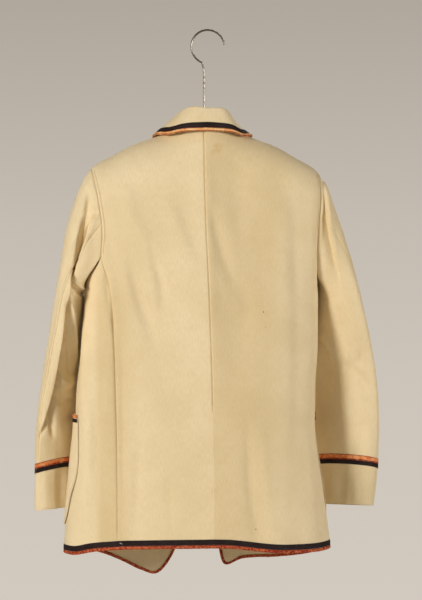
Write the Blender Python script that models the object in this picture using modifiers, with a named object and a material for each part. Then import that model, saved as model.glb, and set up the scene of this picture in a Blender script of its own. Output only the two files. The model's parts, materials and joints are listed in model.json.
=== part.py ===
"""A blazer that hangs open on a plain hanger, built as it is cut and sewn.

The origin is the inside crown of the hanger's hook. +Z is up, the back of
the blazer faces -Y and its fronts face +Y, so its left side is at -X.
Sizes in the tables are millimetres. "drop" is the distance below the
origin, and "turn" is the direction round the body in degrees: 0 at the
centre of the back, 90 at the side and 180 at the centre of the front.
"""

import math

import bmesh
import bpy
import numpy as np

MM = 0.001
CLOTH = 2.0
SEAM_GAP = 0.3
LEFT = -1
RIGHT = 1

# Body: how boxy its sections are, and how round the shoulder is in section.
BOXY = 0.2
SHOULDER_ROUND = 60.0
NECK_X = -7.0
NECK_SIDE = 57.0
NECK_DROP = 167.0
# drop, centre x, half width, back depth, front depth
TORSO = (
    (160, -6.0, 228.0, 50, 42),
    (250, -3.0, 230.0, 59, 48),
    (345, -9.0, 224.0, 71, 56),
    (400, -10.5, 213.0, 78, 60),
    (440, -11.5, 207.0, 84, 64),
    (548, -15.0, 208.5, 93, 70),
    (635, -22.0, 210.5, 98, 72),
    (694, -24.0, 211.0, 101, 73),
    (751, -22.5, 218.0, 105, 75),
    (833, -20.0, 228.5, 111, 77),
    (899, -18.5, 235.0, 115, 78),
    (970, -18.0, 239.0, 118, 79),
)
# distance from the neck's centre, drop of the shoulder line
SHOULDER_LINE = (
    (0, 139),
    (30, 154),
    (57, 172),
    (77, 184),
    (98, 191.5),
    (130, 203.5),
    (162, 221),
    (193, 238),
    (206, 248),
    (240, 270),
)
# turn of the fold, then its drop, at the top, middle and bottom; half width in degrees; depth
FOLDS = (
    (-49, 262, -46, 370, -41, 500, 5.0, -3.5),
    (-43, 280, -37, 473, -24, 700, 6.0, 4.0),
    (-36, 290, -32, 392, -28, 520, 5.0, -3.0),
    (-19, 290, -12, 416, -6, 530, 5.0, 3.0),
    (-17, 400, -18, 460, -19, 560, 4.5, -2.0),
    (2, 290, 8, 400, 13, 520, 5.0, 2.5),
    (17, 300, 21, 400, 22, 500, 5.0, -2.5),
    (28, 290, 33, 400, 39, 520, 5.5, 3.0),
    (16, 690, 18.5, 808, 18.5, 899, 4.5, -4.0),
    (26, 700, 27, 820, 27, 905, 5.5, 3.0),
    (-44, 650, -45, 790, -44, 905, 4.5, -3.0),
    (-54, 650, -54, 790, -56, 905, 4.5, -2.5),
    (-31, 790, -31, 860, -31, 899, 4.5, -2.0),
    (130, 470, 135, 640, 140, 860, 7.0, 4.0),
    (-128, 470, -134, 640, -138, 860, 7.0, 4.0),
)

# Seams, as drop and x on the back of the body.
CENTRE_SEAM = ((150, -16), (260, -17), (361, -16), (491, -13), (645, -9), (780, -8), (930, -10))
ARMHOLE_BACK = {
    LEFT: ((250, -208), (309, -199), (352, -194), (398, -196)),
    RIGHT: ((246, 196), (300, 195), (345, 191), (398, 188), (428, 189)),
}
SIDE_SEAM = {
    LEFT: ((398, -196), (439, -187), (473, -181), (533, -178), (682, -175), (908, -174)),
    RIGHT: ((428, 189), (521, 188), (610, 183), (698, 181), (751, 190), (815, 199), (911, 211)),
}
# Lowest part of the armhole: turn, drop.
UNDERARM = {
    LEFT: ((53, 398), (63, 417), (77, 433), (90, 438), (104, 434)),
    RIGHT: ((68, 428), (78, 435), (90, 438), (104, 434)),
}
# Front of the armhole from the underarm to the shoulder: x, drop.
ARMHOLE_FRONT = {
    LEFT: ((-215, 434), (-198, 402), (-193, 350), (-198, 300), (-208, 250)),
    RIGHT: ((192, 434), (188, 402), (189, 350), (194, 300), (196, 246)),
}
FRONT_LINE = ((104, 434), (106, 650), (108, 925))
# Hem round the body, from the centre of the back: turn, drop.
HEM = {
    LEFT: ((0, 897), (20, 897), (38, 899), (48, 902), (58, 908), (90, 912), (108, 914), (146, 925),
           (152, 934), (160, 951), (164.8, 959), (168, 959.5)),
    RIGHT: ((0, 897), (10, 899), (17, 904), (29, 909), (39, 910), (77, 910), (90, 912), (108, 919),
            (128, 929), (149, 935), (158.7, 936), (163.4, 940), (167.5, 946.5)),
}
# Front edge from the lower corner to where the lapel turns back: x, drop.
FRONT_EDGE = {
    LEFT: ((-72, 957), (-62, 950), (-55, 938), (-48, 920), (-42, 880), (-35, 750), (-28, 600), (-22, 445)),
    RIGHT: ((35, 946), (33, 938), (33, 925), (32, 880), (27, 750), (20, 600), (14, 445)),
}
# Roll of the lapel from there to the neck: distance from the neck's centre, drop.
ROLL_LINE = ((19, 425), (33, 330), (47, 240), (57, 178))

# Trim: widths of the two tapes, their lift off the cloth and thickness.
ORANGE_WIDTH = 6.5
BLACK_WIDTH = 8.0
TAPE_LIFT = 0.35
TAPE_THICK = 0.9

# Sleeves: drop, centre x, centre y, half thickness, half depth, and the turn of the section.
SLEEVE = {
    LEFT: (
        (480, 240, 28, 25, 74, 18),
        (544, 246, 34, 26, 72, 22),
        (600, 252, 42, 28, 69, 26),
        (657, 255.5, 52, 28.5, 67, 32),
        (728, 256.5, 64, 29.5, 63, 38),
        (799, 255.5, 73, 31, 59, 41),
        (850, 256, 78, 32, 57, 41),
    ),
    RIGHT: (
        (480, 228, 14, 28, 74, 30),
        (544, 237.5, 24, 31, 72, 40),
        (600, 247, 35, 32, 70, 46),
        (657, 254, 43, 33, 67, 50),
        (728, 258, 50, 34, 64, 55),
        (799, 259, 56, 33, 60, 58),
        (850, 257, 60, 33, 57, 58),
    ),
}
# How a sleeve starts down from the shoulder: share outwards and down; weight of the way to its ring.
SLEEVE_SLOPE = (0.74, -0.67)
CHORD_WEIGHT = 0.7
HEAD_DROP = 480.0
CUFF_DROP = 842.0
CUFF_TAPE_DROP = 757.0
CUFF_ORANGE_WIDTH = 9.5
# Angle round the sleeve of its two seams.
HIND_SEAM = 88
FORE_SEAM = 225
# Drop, and how much lower the outer side of the sleeve's section is than the drop.
SLEEVE_TILT = ((480, 0), (762, 9), (850, 3))
# Sleeve folds: angle round the sleeve and drop at both ends, half width in degrees, depth.
SLEEVE_FOLDS = (
    (88, 500, 92, 760, 14, 3.0),
    (62, 400, 66, 640, 13, -3.5),
    (128, 500, 122, 700, 14, -2.5),
    (25, 470, 20, 640, 16, 2.5),
    (235, 560, 300, 600, 14, -4.0),
    (120, 575, 160, 600, 14, -4.0),
)

# Collar, from the centre back: share of its length, then x from the neck's centre, y and drop
# of its seam, of its fold and of its outer edge, and how far the leaf bows out between them.
COLLAR = {
    LEFT: (
        (0.00, 0, -43, 166, 0, -50, 139, 0, -57.5, 179, 1.5),
        (0.20, 28, -38, 166, 26, -46, 137, 42, -55, 180.5, 1.5),
        (0.40, 48, -21, 167, 41, -29, 143, 71, -38, 185, 1.0),
        (0.55, 55, -1, 170, 48, -4, 150, 87, -6, 183, 0.5),
        (0.75, 54, 26, 181, 49, 31, 167, 86, 31, 193, 0.5),
        (1.00, 42, 48, 222, 45, 56, 207, 78, 52, 214, 0.5),
    ),
    RIGHT: (
        (0.00, 0, -43, 166, 0, -50, 139, 0, -57.5, 179, 1.5),
        (0.20, 28, -38, 166, 27, -46, 139, 42, -55, 180.5, 1.0),
        (0.40, 48, -21, 167, 41, -29, 147, 68, -38, 185.5, 0.0),
        (0.55, 55, -1, 170, 47, -4, 154, 86, -6, 182.5, -0.5),
        (0.75, 54, 26, 181, 49, 31, 168, 86, 31, 193, 0.0),
        (1.00, 42, 48, 222, 45, 56, 207, 78, 52, 214, 0.5),
    ),
}
FOLD_ROUND = 4.2

# Lapel: share of the roll line from its lower end, width; then the slope of its top edge.
LAPEL = ((0.0, 7), (0.12, 18), (0.4, 46), (0.7, 70), (0.88, 80), (1.0, 78))
LAPEL_TOP = 0.82
LAPEL_LIFT = 0.8
GORGE_SLOPE = 24.0

# Hip pockets: turn of both edges, drop of the top and bottom; then shares of the width and of
# the height that the round of a lower corner takes.
POCKET = {LEFT: (79, 140, 672, 866), RIGHT: (84, 143, 672, 866)}
CORNER_WIDTH = 0.35
CORNER_HEIGHT = 0.30
POCKET_LIFT = 0.9
POCKET_BULGE = 1.5

BUTTON_DROPS = (470, 575, 680)
BUTTON_RADIUS = 10.0
BUTTON_THICK = 3.4
BUTTON_INSET = 26.0
BUTTON_LIFT = 0.4

# Hanger: distance from its centre and drop of its top; its section; its hook.
HANGER_TOP = ((0, 160), (30, 163), (57, 175.5), (77, 187.5), (98, 195), (130, 207), (162, 224.5), (180, 235))
HANGER_HALF_HEIGHT = 9.0
HANGER_HALF_THICK = 7.0
# Distances from the bar's middle where it has rings, where its rounded ends start, and how much
# smaller the last ring is.
HANGER_STATIONS = [0, 20, 40, 57, 80, 105, 130, 152, 168, 176, 180]
HANGER_ROUND_FROM = 168
HANGER_END_SIZE = 0.25
HOOK_WIRE = 1.75
HOOK_INSIDE = 28.0

CREAM = (0.72, 0.60, 0.40)
BLACK = (0.025, 0.022, 0.022)
ORANGE = (0.62, 0.20, 0.07)
WOOD = (0.42, 0.24, 0.11)
STEEL = (0.62, 0.61, 0.58)
HORN = (0.30, 0.20, 0.12)

# Where the pieces have rows and columns of points, as shares of their length or width.
BACK_COLUMNS = np.linspace(0, 1, 13)
ARM_ROWS = np.array([0, 0.025, 0.08, 0.17, 0.3, 0.45, 0.62, 0.8, 1.0])
LOW_ROWS = np.linspace(0, 1, 13)
SIDE_COLUMNS = {LEFT: np.linspace(0, 1, 6), RIGHT: np.linspace(0, 1, 4)}
FRONT_COLUMNS = np.linspace(0, 1, 10)
HEAD_ROWS = np.array([0, 0.1, 0.24, 0.42, 0.62, 0.82, 1.0])
COLLAR_COLUMNS = np.linspace(-1, 1, 25)
STAND_ROWS = (0, 0.5)
FOLD_ROWS = np.linspace(0, 1, 6)
LEAF_ROWS = (0.33, 0.67)
LAPEL_ROWS = np.array([0, 0.06, 0.14, 0.26, 0.4, 0.54, 0.68, 0.82, 1.0])
LAPEL_COLUMNS = np.array([0, 0.33, 0.67, 1])
POCKET_ROWS = (0.2, 0.35, 0.5, 0.64, 0.76, 0.86, 0.94, 1)
POCKET_COLUMNS = np.array([0, 0.03, 0.09, 0.18, 0.3, 0.43, 0.57, 0.7, 0.82, 0.91, 0.97, 1])
# Drops of the sleeve's rows above its tapes, and of the one below them.
SLEEVE_DROPS = (510, 540, 570, 600, 640, 680, 716)
BELOW_CUFF_TAPE = 800
# How far the sleeve starts from the armhole, and how alike both surfaces must look where it
# carries on from the body.
ARMHOLE_GAP = 0.3
ARMHOLE_ALIKE = 0.6


def smooth_line(table, at, column=1):
    """The value of a table's column at each place, on a smooth line through its rows."""
    rows = np.asarray(table, float)
    place, value = rows[:, 0], rows[:, column]
    slope = np.gradient(value, place)
    at = np.clip(at, place[0], place[-1])
    row = np.clip(np.searchsorted(place, at, side="right") - 1, 0, len(place) - 2)
    width = place[row + 1] - place[row]
    t = (at - place[row]) / width
    start = (2 * t**3 - 3 * t**2 + 1) * value[row] + (t**3 - 2 * t**2 + t) * width * slope[row]
    end = (3 * t**2 - 2 * t**3) * value[row + 1] + (t**3 - t**2) * width * slope[row + 1]
    return start + end


def smooth_path(points, shares):
    """Places at shares of the length of a smooth line through points."""
    points = np.asarray(points, float)
    length = np.concatenate([[0], np.cumsum(np.linalg.norm(np.diff(points, axis=0), axis=1))])
    table = np.column_stack([length / length[-1], points])
    return np.stack([smooth_line(table, shares, k + 1) for k in range(points.shape[1])], axis=-1)


def boxed(value):
    """A circle's sine or cosine, pushed out towards a box."""
    return value + BOXY * (value - value**3)


def unboxed(value):
    """The sine that boxed() turns into this value."""
    sine = np.clip(value, -1, 1)
    for _ in range(12):
        sine = sine - (boxed(sine) - value) / (1 + BOXY - 3 * BOXY * sine**2)
    return np.clip(sine, -1, 1)


def turn_on_back(x, drop):
    """The turn of a point on the back that has this x."""
    middle = smooth_line(TORSO, drop, 1)
    half = smooth_line(TORSO, drop, 2)
    return np.degrees(np.arcsin(unboxed(np.clip((x - middle) / half, -1, 1))))


def turn_on_front(x, drop):
    """The turn of a point on the fronts that has this x."""
    back = turn_on_back(x, drop)
    return np.where(back < 0, -180 - back, 180 - back)


def shoulder_drop(x):
    return smooth_line(SHOULDER_LINE, np.abs(x - NECK_X))


def fold_height(turn, drop):
    """How far the folds push the cloth out."""
    height = np.zeros(np.broadcast(turn, drop).shape)
    for t1, d1, t2, d2, t3, d3, width, depth in FOLDS:
        line = np.interp(drop, (d1, d2, d3), (t1, t2, t3))
        share = np.clip((drop - d1) / (d3 - d1), 0, 1)
        fade = np.sin(np.pi * share) ** 0.8
        if d3 > 890:
            fade = np.sin(np.pi / 2 * np.clip((drop - d1) / (d3 - d1), 0, 1))
        height = height + depth * fade * np.exp(-(((turn - line) / width) ** 2))
    return height


def torso_point(turn, drop):
    """A point of the body's outer face."""
    turn, drop = np.broadcast_arrays(np.asarray(turn, float), np.asarray(drop, float))
    middle, half, back, front = (smooth_line(TORSO, drop, k) for k in (1, 2, 3, 4))
    angle = np.radians(turn)
    along = boxed(np.cos(angle))
    x = middle + half * boxed(np.sin(angle))
    y = -(back + front) / 2 * along - (back - front) / 2 * along**2
    below = np.clip((drop - shoulder_drop(x)) / SHOULDER_ROUND, 0, 1)
    rise = np.sqrt(np.clip(1 - (1 - below) ** 2, 0, 1))
    out_x = np.sin(angle) * (back + front) / 2
    out_y = -np.cos(angle) * half
    size = np.hypot(out_x, out_y)
    push = fold_height(turn, drop) * rise
    return np.stack([x + push * out_x / size, y * rise + push * out_y / size, -drop], axis=-1)


def torso_normal(turn, drop):
    """The direction that the body's outer face looks in."""
    turn, drop = np.broadcast_arrays(np.asarray(turn, float), np.asarray(drop, float))
    side = torso_point(turn + 0.2, drop) - torso_point(turn - 0.2, drop)
    down = torso_point(turn, drop + 0.4) - torso_point(turn, drop - 0.4)
    normal = np.cross(down, side)
    point = torso_point(turn, drop)
    x = point[..., 0]
    slope = (shoulder_drop(x + 1) - shoulder_drop(x - 1)) / 2
    ridge = np.stack([slope, np.zeros_like(slope), np.ones_like(slope)], axis=-1)
    on_ridge = (drop - shoulder_drop(x) < 0.6)[..., None]
    normal = np.where(on_ridge, ridge, normal)
    return normal / np.linalg.norm(normal, axis=-1, keepdims=True)


class Cloth:
    """Points of a piece's outer face, their normals, and the cells between them."""

    def __init__(self):
        self.points = np.zeros((0, 3))
        self.normals = np.zeros((0, 3))
        self.cells = []

    def add(self, points, normals):
        """Adds points and returns their numbers, in the same arrangement."""
        start = len(self.points)
        shape = points.shape[:-1]
        self.points = np.vstack([self.points, points.reshape(-1, 3)])
        self.normals = np.vstack([self.normals, normals.reshape(-1, 3)])
        return np.arange(start, start + int(np.prod(shape))).reshape(shape)

    def fill(self, numbers):
        """Adds a cell between each four neighbours of a grid of numbers."""
        for a, b in zip(numbers[:-1], numbers[1:]):
            for k in range(len(a) - 1):
                self.cells.append((a[k], a[k + 1], b[k + 1], b[k]))

    def on_torso(self, turn, drop, shift=0.0):
        points = torso_point(turn, drop)
        points[..., 1] += shift
        return self.add(points, torso_normal(turn, drop))


def patch(top, bottom, start, end):
    """Places inside four edges: top and bottom run from start to end."""
    down = np.linspace(0, 1, len(start))[:, None, None]
    lengths = np.linalg.norm(np.diff(start, axis=0), axis=1) + np.linalg.norm(np.diff(end, axis=0), axis=1)
    down[1:, 0, 0] = np.cumsum(lengths) / lengths.sum()
    widths = np.linalg.norm(np.diff(top, axis=0), axis=1) + np.linalg.norm(np.diff(bottom, axis=0), axis=1)
    across = np.concatenate([[0], np.cumsum(widths) / widths.sum()])[None, :, None]
    edges = (1 - down) * top[None] + down * bottom[None]
    sides = (1 - across) * start[:, None] + across * end[:, None]
    corners = (1 - down) * ((1 - across) * top[0] + across * top[-1])
    corners = corners + down * ((1 - across) * bottom[0] + across * bottom[-1])
    return edges + sides - corners


def on_shoulder(turns):
    """Places on the shoulder line, or on the neck's edge inside it."""
    drop = np.full(len(turns), 200.0)
    for _ in range(12):
        x = torso_point(turns, drop)[..., 0]
        drop = np.maximum(shoulder_drop(x), NECK_DROP)
    return np.column_stack([turns, drop])


def side_seam(side, rows_above, rows_below):
    """x and drop down the back of the armhole and the side seam, to above the hem's tapes."""
    arm = smooth_path([(abs(x), d) for d, x in ARMHOLE_BACK[side]], rows_above)
    fine = smooth_path([(abs(x), d) for d, x in SIDE_SEAM[side]], np.linspace(0, 1, 200))
    hem_turn = abs(float(turn_on_back(fine[-1, 0] * side, fine[-1, 1])))
    hem_drop = float(smooth_line(HEM[side], hem_turn))
    drops = fine[0, 1] + (hem_drop - ORANGE_WIDTH - BLACK_WIDTH - fine[0, 1]) * rows_below
    drops = np.concatenate([drops, [hem_drop - ORANGE_WIDTH, hem_drop]])
    seam = np.column_stack([np.interp(drops, fine[:, 1], fine[:, 0]), drops])
    return arm * [side, 1], seam * [side, 1]


def back_half(side, columns, rows_above, rows_below):
    """Half of the back, with the numbers of its armhole edge and of its hem strip."""
    gap = SEAM_GAP / 2
    arm, seam = side_seam(side, rows_above, rows_below)
    outer = np.concatenate([arm, seam[1:]])
    outer[:, 0] = turn_on_back(outer[:, 0] - side * gap, outer[:, 1])
    hem_drop = smooth_line(HEM[side], 0.0)
    above_tapes = hem_drop - ORANGE_WIDTH - BLACK_WIDTH
    share = (outer[:-2, 1] - outer[0, 1]) / (outer[-3, 1] - outer[0, 1])
    centre_drop = NECK_DROP + (above_tapes - NECK_DROP) * share
    centre_drop = np.concatenate([centre_drop, [hem_drop - ORANGE_WIDTH, hem_drop]])
    centre_x = smooth_line(CENTRE_SEAM, centre_drop) + side * gap
    centre = np.column_stack([turn_on_back(centre_x, centre_drop), centre_drop])
    top = on_shoulder(centre[0, 0] + (outer[0, 0] - centre[0, 0]) * columns)
    outer[0] = top[-1]
    strips = []
    for row, above in ((-3, ORANGE_WIDTH + BLACK_WIDTH), (-2, ORANGE_WIDTH), (-1, 0)):
        turns = centre[row, 0] + (outer[row, 0] - centre[row, 0]) * columns
        strips.append(np.column_stack([turns, smooth_line(HEM[side], np.abs(turns)) - above]))
        strips[-1][0], strips[-1][-1] = centre[row], outer[row]
    places = patch(top, strips[0], centre[:-2], outer[:-2])
    places = np.concatenate([places, strips[1][None], strips[2][None]])
    shift = np.zeros(places.shape[:2])
    shift[0] = -gap
    cloth = Cloth()
    numbers = cloth.on_torso(places[..., 0], places[..., 1], shift)
    cloth.fill(numbers)
    return cloth, numbers[:len(rows_above), -1], numbers[-3:]


def edge_outline(side, hem_turns, edge_rows):
    """The hem and the front edge of one front as one line of turns and drops."""
    hem_turns = np.asarray(hem_turns)
    hem = np.column_stack([side * hem_turns, smooth_line(HEM[side], hem_turns)])
    edge = smooth_path(FRONT_EDGE[side], edge_rows)
    edge = np.column_stack([turn_on_front(edge[:, 0], edge[:, 1]), edge[:, 1]])
    return hem, edge


def moved_in(line, distance, side):
    """A line on the body, moved towards the middle of the front panel."""
    points = torso_point(line[:, 0], line[:, 1])
    run = np.gradient(points, axis=0)
    inward = np.cross(torso_normal(line[:, 0], line[:, 1]), run) * side
    inward = inward / np.linalg.norm(inward, axis=1, keepdims=True)
    step = 0.5
    turn_step = torso_point(line[:, 0] + step, line[:, 1]) - points
    size = np.linalg.norm(turn_step, axis=1)
    across = (inward * turn_step).sum(axis=1) / size**2 * step
    return line + distance * np.column_stack([across, -inward[:, 2]])


def front_panel(side, side_columns, front_columns, arm_rows, low_rows):
    """One front, from the side seam to the front edge and the roll of the lapel."""
    cloth = Cloth()
    seam = side_seam(side, arm_rows, low_rows)[1]
    seam[:, 0] = turn_on_back(seam[:, 0] + side * SEAM_GAP / 2, seam[:, 1])
    line = smooth_path(FRONT_LINE, low_rows) * [side, 1]
    under = smooth_path(UNDERARM[side], side_columns) * [side, 1]
    under[0] = seam[0]
    under[-1] = line[0]
    arm = smooth_path(ARMHOLE_FRONT[side], 1 - arm_rows)
    arm[:, 0] = turn_on_front(arm[:, 0], arm[:, 1])
    arm[-1] = line[0]
    start_turn, line_turn = abs(seam[-1, 0]), abs(line[-1, 0])
    corner_turn = HEM[side][-1][0]
    turns_side = start_turn + (line_turn - start_turn) * side_columns
    turns_front = line_turn + (corner_turn - line_turn) * front_columns
    hem, edge = edge_outline(side, np.concatenate([turns_side, turns_front[1:]]), low_rows)
    outline = np.concatenate([hem, edge[1:]])
    inner = moved_in(outline, ORANGE_WIDTH + BLACK_WIDTH, side)
    middle = moved_in(outline, ORANGE_WIDTH, side)
    inner[0], middle[0], outline[0] = seam[-3:]
    count = len(turns_side)
    line_low = line.copy()
    line_low[:, 1] = line[0, 1] + (line[:, 1] - line[0, 1]) * (
        (inner[count - 1, 1] - line[0, 1]) / (line[-1, 1] - line[0, 1]))
    line_low[-1] = inner[count - 1]
    side_places = patch(under, inner[:count], seam[:-2], line_low)
    roll = np.array([(NECK_X + side * x, d) for x, d in ROLL_LINE])
    roll_turn = turn_on_front(roll[:, 0], roll[:, 1])
    neck_turn = turn_on_front(NECK_X + side * NECK_SIDE, NECK_DROP + 3)
    top = on_shoulder(arm[0, 0] + (neck_turn - arm[0, 0]) * front_columns)
    arm[0] = top[0]
    upper_line = np.concatenate([[inner[-1]], np.column_stack([roll_turn, roll[:, 1]]), [top[-1]]])
    upper = smooth_path(upper_line, 1 - arm_rows)
    upper[-1], upper[0] = inner[-1], top[-1]
    low_edge = inner[len(hem) - 1:][::-1]
    end = np.concatenate([upper, low_edge[1:]])
    start = np.concatenate([arm, line_low[1:]])
    front_places = patch(top, inner[count - 1:len(hem)], start, end)
    shift = np.zeros(front_places.shape[:2])
    shift[0] = SEAM_GAP / 2
    front = cloth.on_torso(front_places[..., 0], front_places[..., 1], shift)
    cloth.fill(front)
    sides = cloth.on_torso(side_places[:, :-1, 0], side_places[:, :-1, 1])
    sides = np.column_stack([sides, front[len(arm) - 1:, 0]])
    cloth.fill(sides)
    up_edge = front[::-1, -1]
    rails = np.stack([
        np.concatenate([sides[-1], front[-1, 1:], up_edge[1:len(edge)]]),
        cloth.on_torso(middle[:, 0], middle[:, 1]),
        cloth.on_torso(outline[:, 0], outline[:, 1]),
    ])
    cloth.fill(rails)
    above = up_edge[len(edge)]
    cloth.cells.append((rails[1, -1], rails[0, -1], above))
    cloth.cells.append((rails[2, -1], rails[1, -1], above))
    armhole = np.concatenate([sides[0, :-1], front[:len(arm), 0][::-1]])
    return cloth, armhole, rails


def material(name, colour, roughness, metallic=0.0):
    made = bpy.data.materials.new(name)
    made.use_nodes = True
    shader = made.node_tree.nodes["Principled BSDF"]
    shader.inputs["Base Color"].default_value = (*colour, 1)
    shader.inputs["Roughness"].default_value = roughness
    shader.inputs["Metallic"].default_value = metallic
    made.diffuse_color = (*colour, 1)
    return made


def boundary(cells):
    """The edges that only one cell has, in that cell's direction."""
    edges = {}
    for cell in cells:
        for k in range(len(cell)):
            edge = (cell[k], cell[(k + 1) % len(cell)])
            edges[edge] = edges.get(edge, 0) + 1
    return [edge for edge in edges if (edge[1], edge[0]) not in edges]


def wall(name, outer, inner, cells, colour, collection):
    """A closed wall between an outer face and an inner one.

    Each edge between the faces is split the same way on both sides of a seam, so that two
    rims that face each other stay apart.
    """
    count = len(outer)
    faces = [
        (int(cell[0]), int(cell[k]), int(cell[k + 1]))
        for cell in cells for k in range(1, len(cell) - 1)
    ]
    rim = []
    for a, b in boundary(faces):
        if outer[a][2] >= outer[b][2]:
            rim += [(a, a + count, b + count), (a, b + count, b)]
        else:
            rim += [(a, a + count, b), (a + count, b + count, b)]
    under = [tuple(k + count for k in reversed(face)) for face in faces]
    mesh = bpy.data.meshes.new(name)
    points = np.vstack([outer, inner]) * MM
    mesh.from_pydata(points.tolist(), [], faces + under + rim)
    return finish(name, mesh, colour, collection)


def finish(name, mesh, colour, collection):
    """Turns a mesh's faces outwards, shades it and places it."""
    shape = bmesh.new()
    shape.from_mesh(mesh)
    bmesh.ops.recalc_face_normals(shape, faces=shape.faces)
    shape.to_mesh(mesh)
    shape.free()
    mesh.shade_smooth()
    mesh.set_sharp_from_angle(angle=math.radians(40))
    mesh.materials.append(colour)
    thing = bpy.data.objects.new(name, mesh)
    collection.objects.link(thing)
    return thing


def cloth_wall(name, cloth, colour, collection):
    outer = cloth.points
    return wall(name, outer, outer - cloth.normals * CLOTH, cloth.cells, colour, collection)


def tape(name, near, near_normals, far, far_normals, colour, collection, closed=False, lift=TAPE_LIFT):
    """A tape between two lines of points on the cloth."""
    width = np.linalg.norm(far - near, axis=1, keepdims=True)
    near = near + (far - near) * np.minimum(0.5, SEAM_GAP / width)
    points = np.vstack([near, far])
    normals = np.vstack([near_normals, far_normals])
    count = len(near)
    last = count if closed else count - 1
    cells = [(k, (k + 1) % count, (k + 1) % count + count, k + count) for k in range(last)]
    low = points + normals * lift
    high = low + normals * TAPE_THICK
    return wall(name, high, low, cells, colour, collection)


def edge_rails(pieces):
    """The rails of several pieces joined into one: three lines of points and normals."""
    points, normals = [], []
    for cloth, rails in pieces:
        points.append(cloth.points[rails])
        normals.append(cloth.normals[rails])
    points = [points[0]] + [p[:, 1:] for p in points[1:]]
    normals = [normals[0]] + [n[:, 1:] for n in normals[1:]]
    return np.concatenate(points, axis=1), np.concatenate(normals, axis=1)


def sleeve_ring(side, angle, drop):
    """A point of the sleeve's section at a drop."""
    x, y, thick, deep, lean = (smooth_line(SLEEVE[side], drop, k) for k in (1, 2, 3, 4, 5))
    lean = np.radians(lean)
    angle = np.radians(angle)
    out, rear = thick * np.cos(angle), deep * np.sin(angle)
    px = side * (x + out * np.cos(lean) + rear * np.sin(lean))
    py = y + out * np.sin(lean) - rear * np.cos(lean)
    tilt = smooth_line(SLEEVE_TILT, drop) * np.cos(angle)
    return np.stack([px, py, -(drop + tilt)], axis=-1)


def sleeve_fold(angle, drop):
    height = np.zeros(np.broadcast(angle, drop).shape)
    for a1, d1, a2, d2, width, depth in SLEEVE_FOLDS:
        line = np.interp(drop, (d1, d2), (a1, a2))
        if abs(a2 - a1) > 25:
            across = np.clip((angle - min(a1, a2)) / abs(a2 - a1), 0, 1)
            level = d1 + (d2 - d1) * (across if a2 > a1 else 1 - across)
            fade = np.sin(np.pi * across) ** 0.8
            height = height + depth * fade * np.exp(-(((drop - level) / width) ** 2))
        else:
            share = np.clip((drop - d1) / (d2 - d1), 0, 1)
            height = height + depth * np.sin(np.pi * share) * np.exp(-(((angle - line) / width) ** 2))
    return height


def smooth_step(value):
    """Goes softly from 0 to 1 as the value does."""
    value = np.clip(value, 0, 1)
    return value * value * (3 - 2 * value)


def sleeve_start(side, loop, loop_normals, sleeve_normals):
    """The sleeve's first ring, just off the armhole, and the normals there."""
    run = np.roll(loop, -1, axis=0) - np.roll(loop, 1, axis=0)
    away = np.cross(run, loop_normals)
    away = away / np.linalg.norm(away, axis=1, keepdims=True)
    away = away * np.sign(away[0, 0] * side)
    alike = (sleeve_normals * loop_normals).sum(axis=1, keepdims=True)
    carries = smooth_step(alike / ARMHOLE_ALIKE)
    shift = away * carries + loop_normals * (1 - carries)
    shift = shift / np.linalg.norm(shift, axis=1, keepdims=True)
    normals = sleeve_normals * (1 - carries) + loop_normals * carries
    normals = normals / np.linalg.norm(normals, axis=1, keepdims=True)
    return loop + shift * ARMHOLE_GAP, normals


def sleeve_grid(side, first, loop_angles, head, rows):
    """Points of a sleeve: rows run from the armhole to the cuff, columns round it."""
    slope = np.array([side * SLEEVE_SLOPE[0], 0.0, SLEEVE_SLOPE[1]])
    ring = sleeve_ring(side, loop_angles, np.full(len(first), HEAD_DROP))
    below = sleeve_ring(side, loop_angles, np.full(len(first), HEAD_DROP + 2))
    down = (below - ring) / np.linalg.norm(below - ring, axis=1, keepdims=True)
    chord = np.linalg.norm(ring - first, axis=1, keepdims=True)
    out = slope + CHORD_WEIGHT * (ring - first) / chord
    out = out / np.linalg.norm(out, axis=1, keepdims=True)
    t = head[:, None, None]
    start = (2 * t**3 - 3 * t**2 + 1) * first + (t**3 - 2 * t**2 + t) * out * chord
    end = (3 * t**2 - 2 * t**3) * ring + (t**3 - t**2) * down * chord
    angles, drops = np.meshgrid(loop_angles, rows)
    lower = sleeve_ring(side, angles, drops)
    return np.concatenate([start + end, lower])


def mean_run(grid, axis, closed=False):
    """The direction of the lines along an axis of a grid, at each point."""
    step = np.diff(grid, axis=axis, append=np.take(grid, [0], axis=axis))
    step = step / np.linalg.norm(step, axis=-1, keepdims=True)
    before = np.roll(step, 1, axis=axis)
    if not closed:
        first, last = [slice(None)] * 3, [slice(None)] * 3
        first[axis], last[axis] = slice(0, 1), slice(-1, None)
        before[tuple(first)] = step[tuple(first)]
        step[tuple(last)] = before[tuple(last)]
    return step + before


def grid_normals(grid, closed=True):
    """Normals of a grid; those of closed rings look out of them."""
    normal = np.cross(mean_run(grid, 0), mean_run(grid, 1, closed))
    normal = normal / np.linalg.norm(normal, axis=-1, keepdims=True)
    if closed and ((grid - grid.mean(axis=1, keepdims=True)) * normal).sum() < 0:
        normal = -normal
    return normal


def sleeve(side, loop, loop_normals, head, rows):
    """A sleeve's grid of points with its normals, and the angle of each column."""
    length = np.linalg.norm(np.roll(loop, -1, axis=0) - loop, axis=1)
    angles = 360 * np.concatenate([[0], np.cumsum(length)[:-1]]) / length.sum()
    plain = grid_normals(sleeve_grid(side, loop, angles, head, rows))
    first, first_normals = sleeve_start(side, loop, loop_normals, plain[0])
    grid = sleeve_grid(side, first, angles, head, rows)
    drops = np.concatenate([-grid[:len(head), :, 2], np.repeat(rows[:, None], len(loop), axis=1)])
    height = sleeve_fold(np.broadcast_to(angles, drops.shape), drops)
    height[0] = 0
    grid = grid + grid_normals(grid) * height[..., None]
    normals = grid_normals(grid)
    normals[0] = first_normals
    return grid, normals, angles


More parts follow.
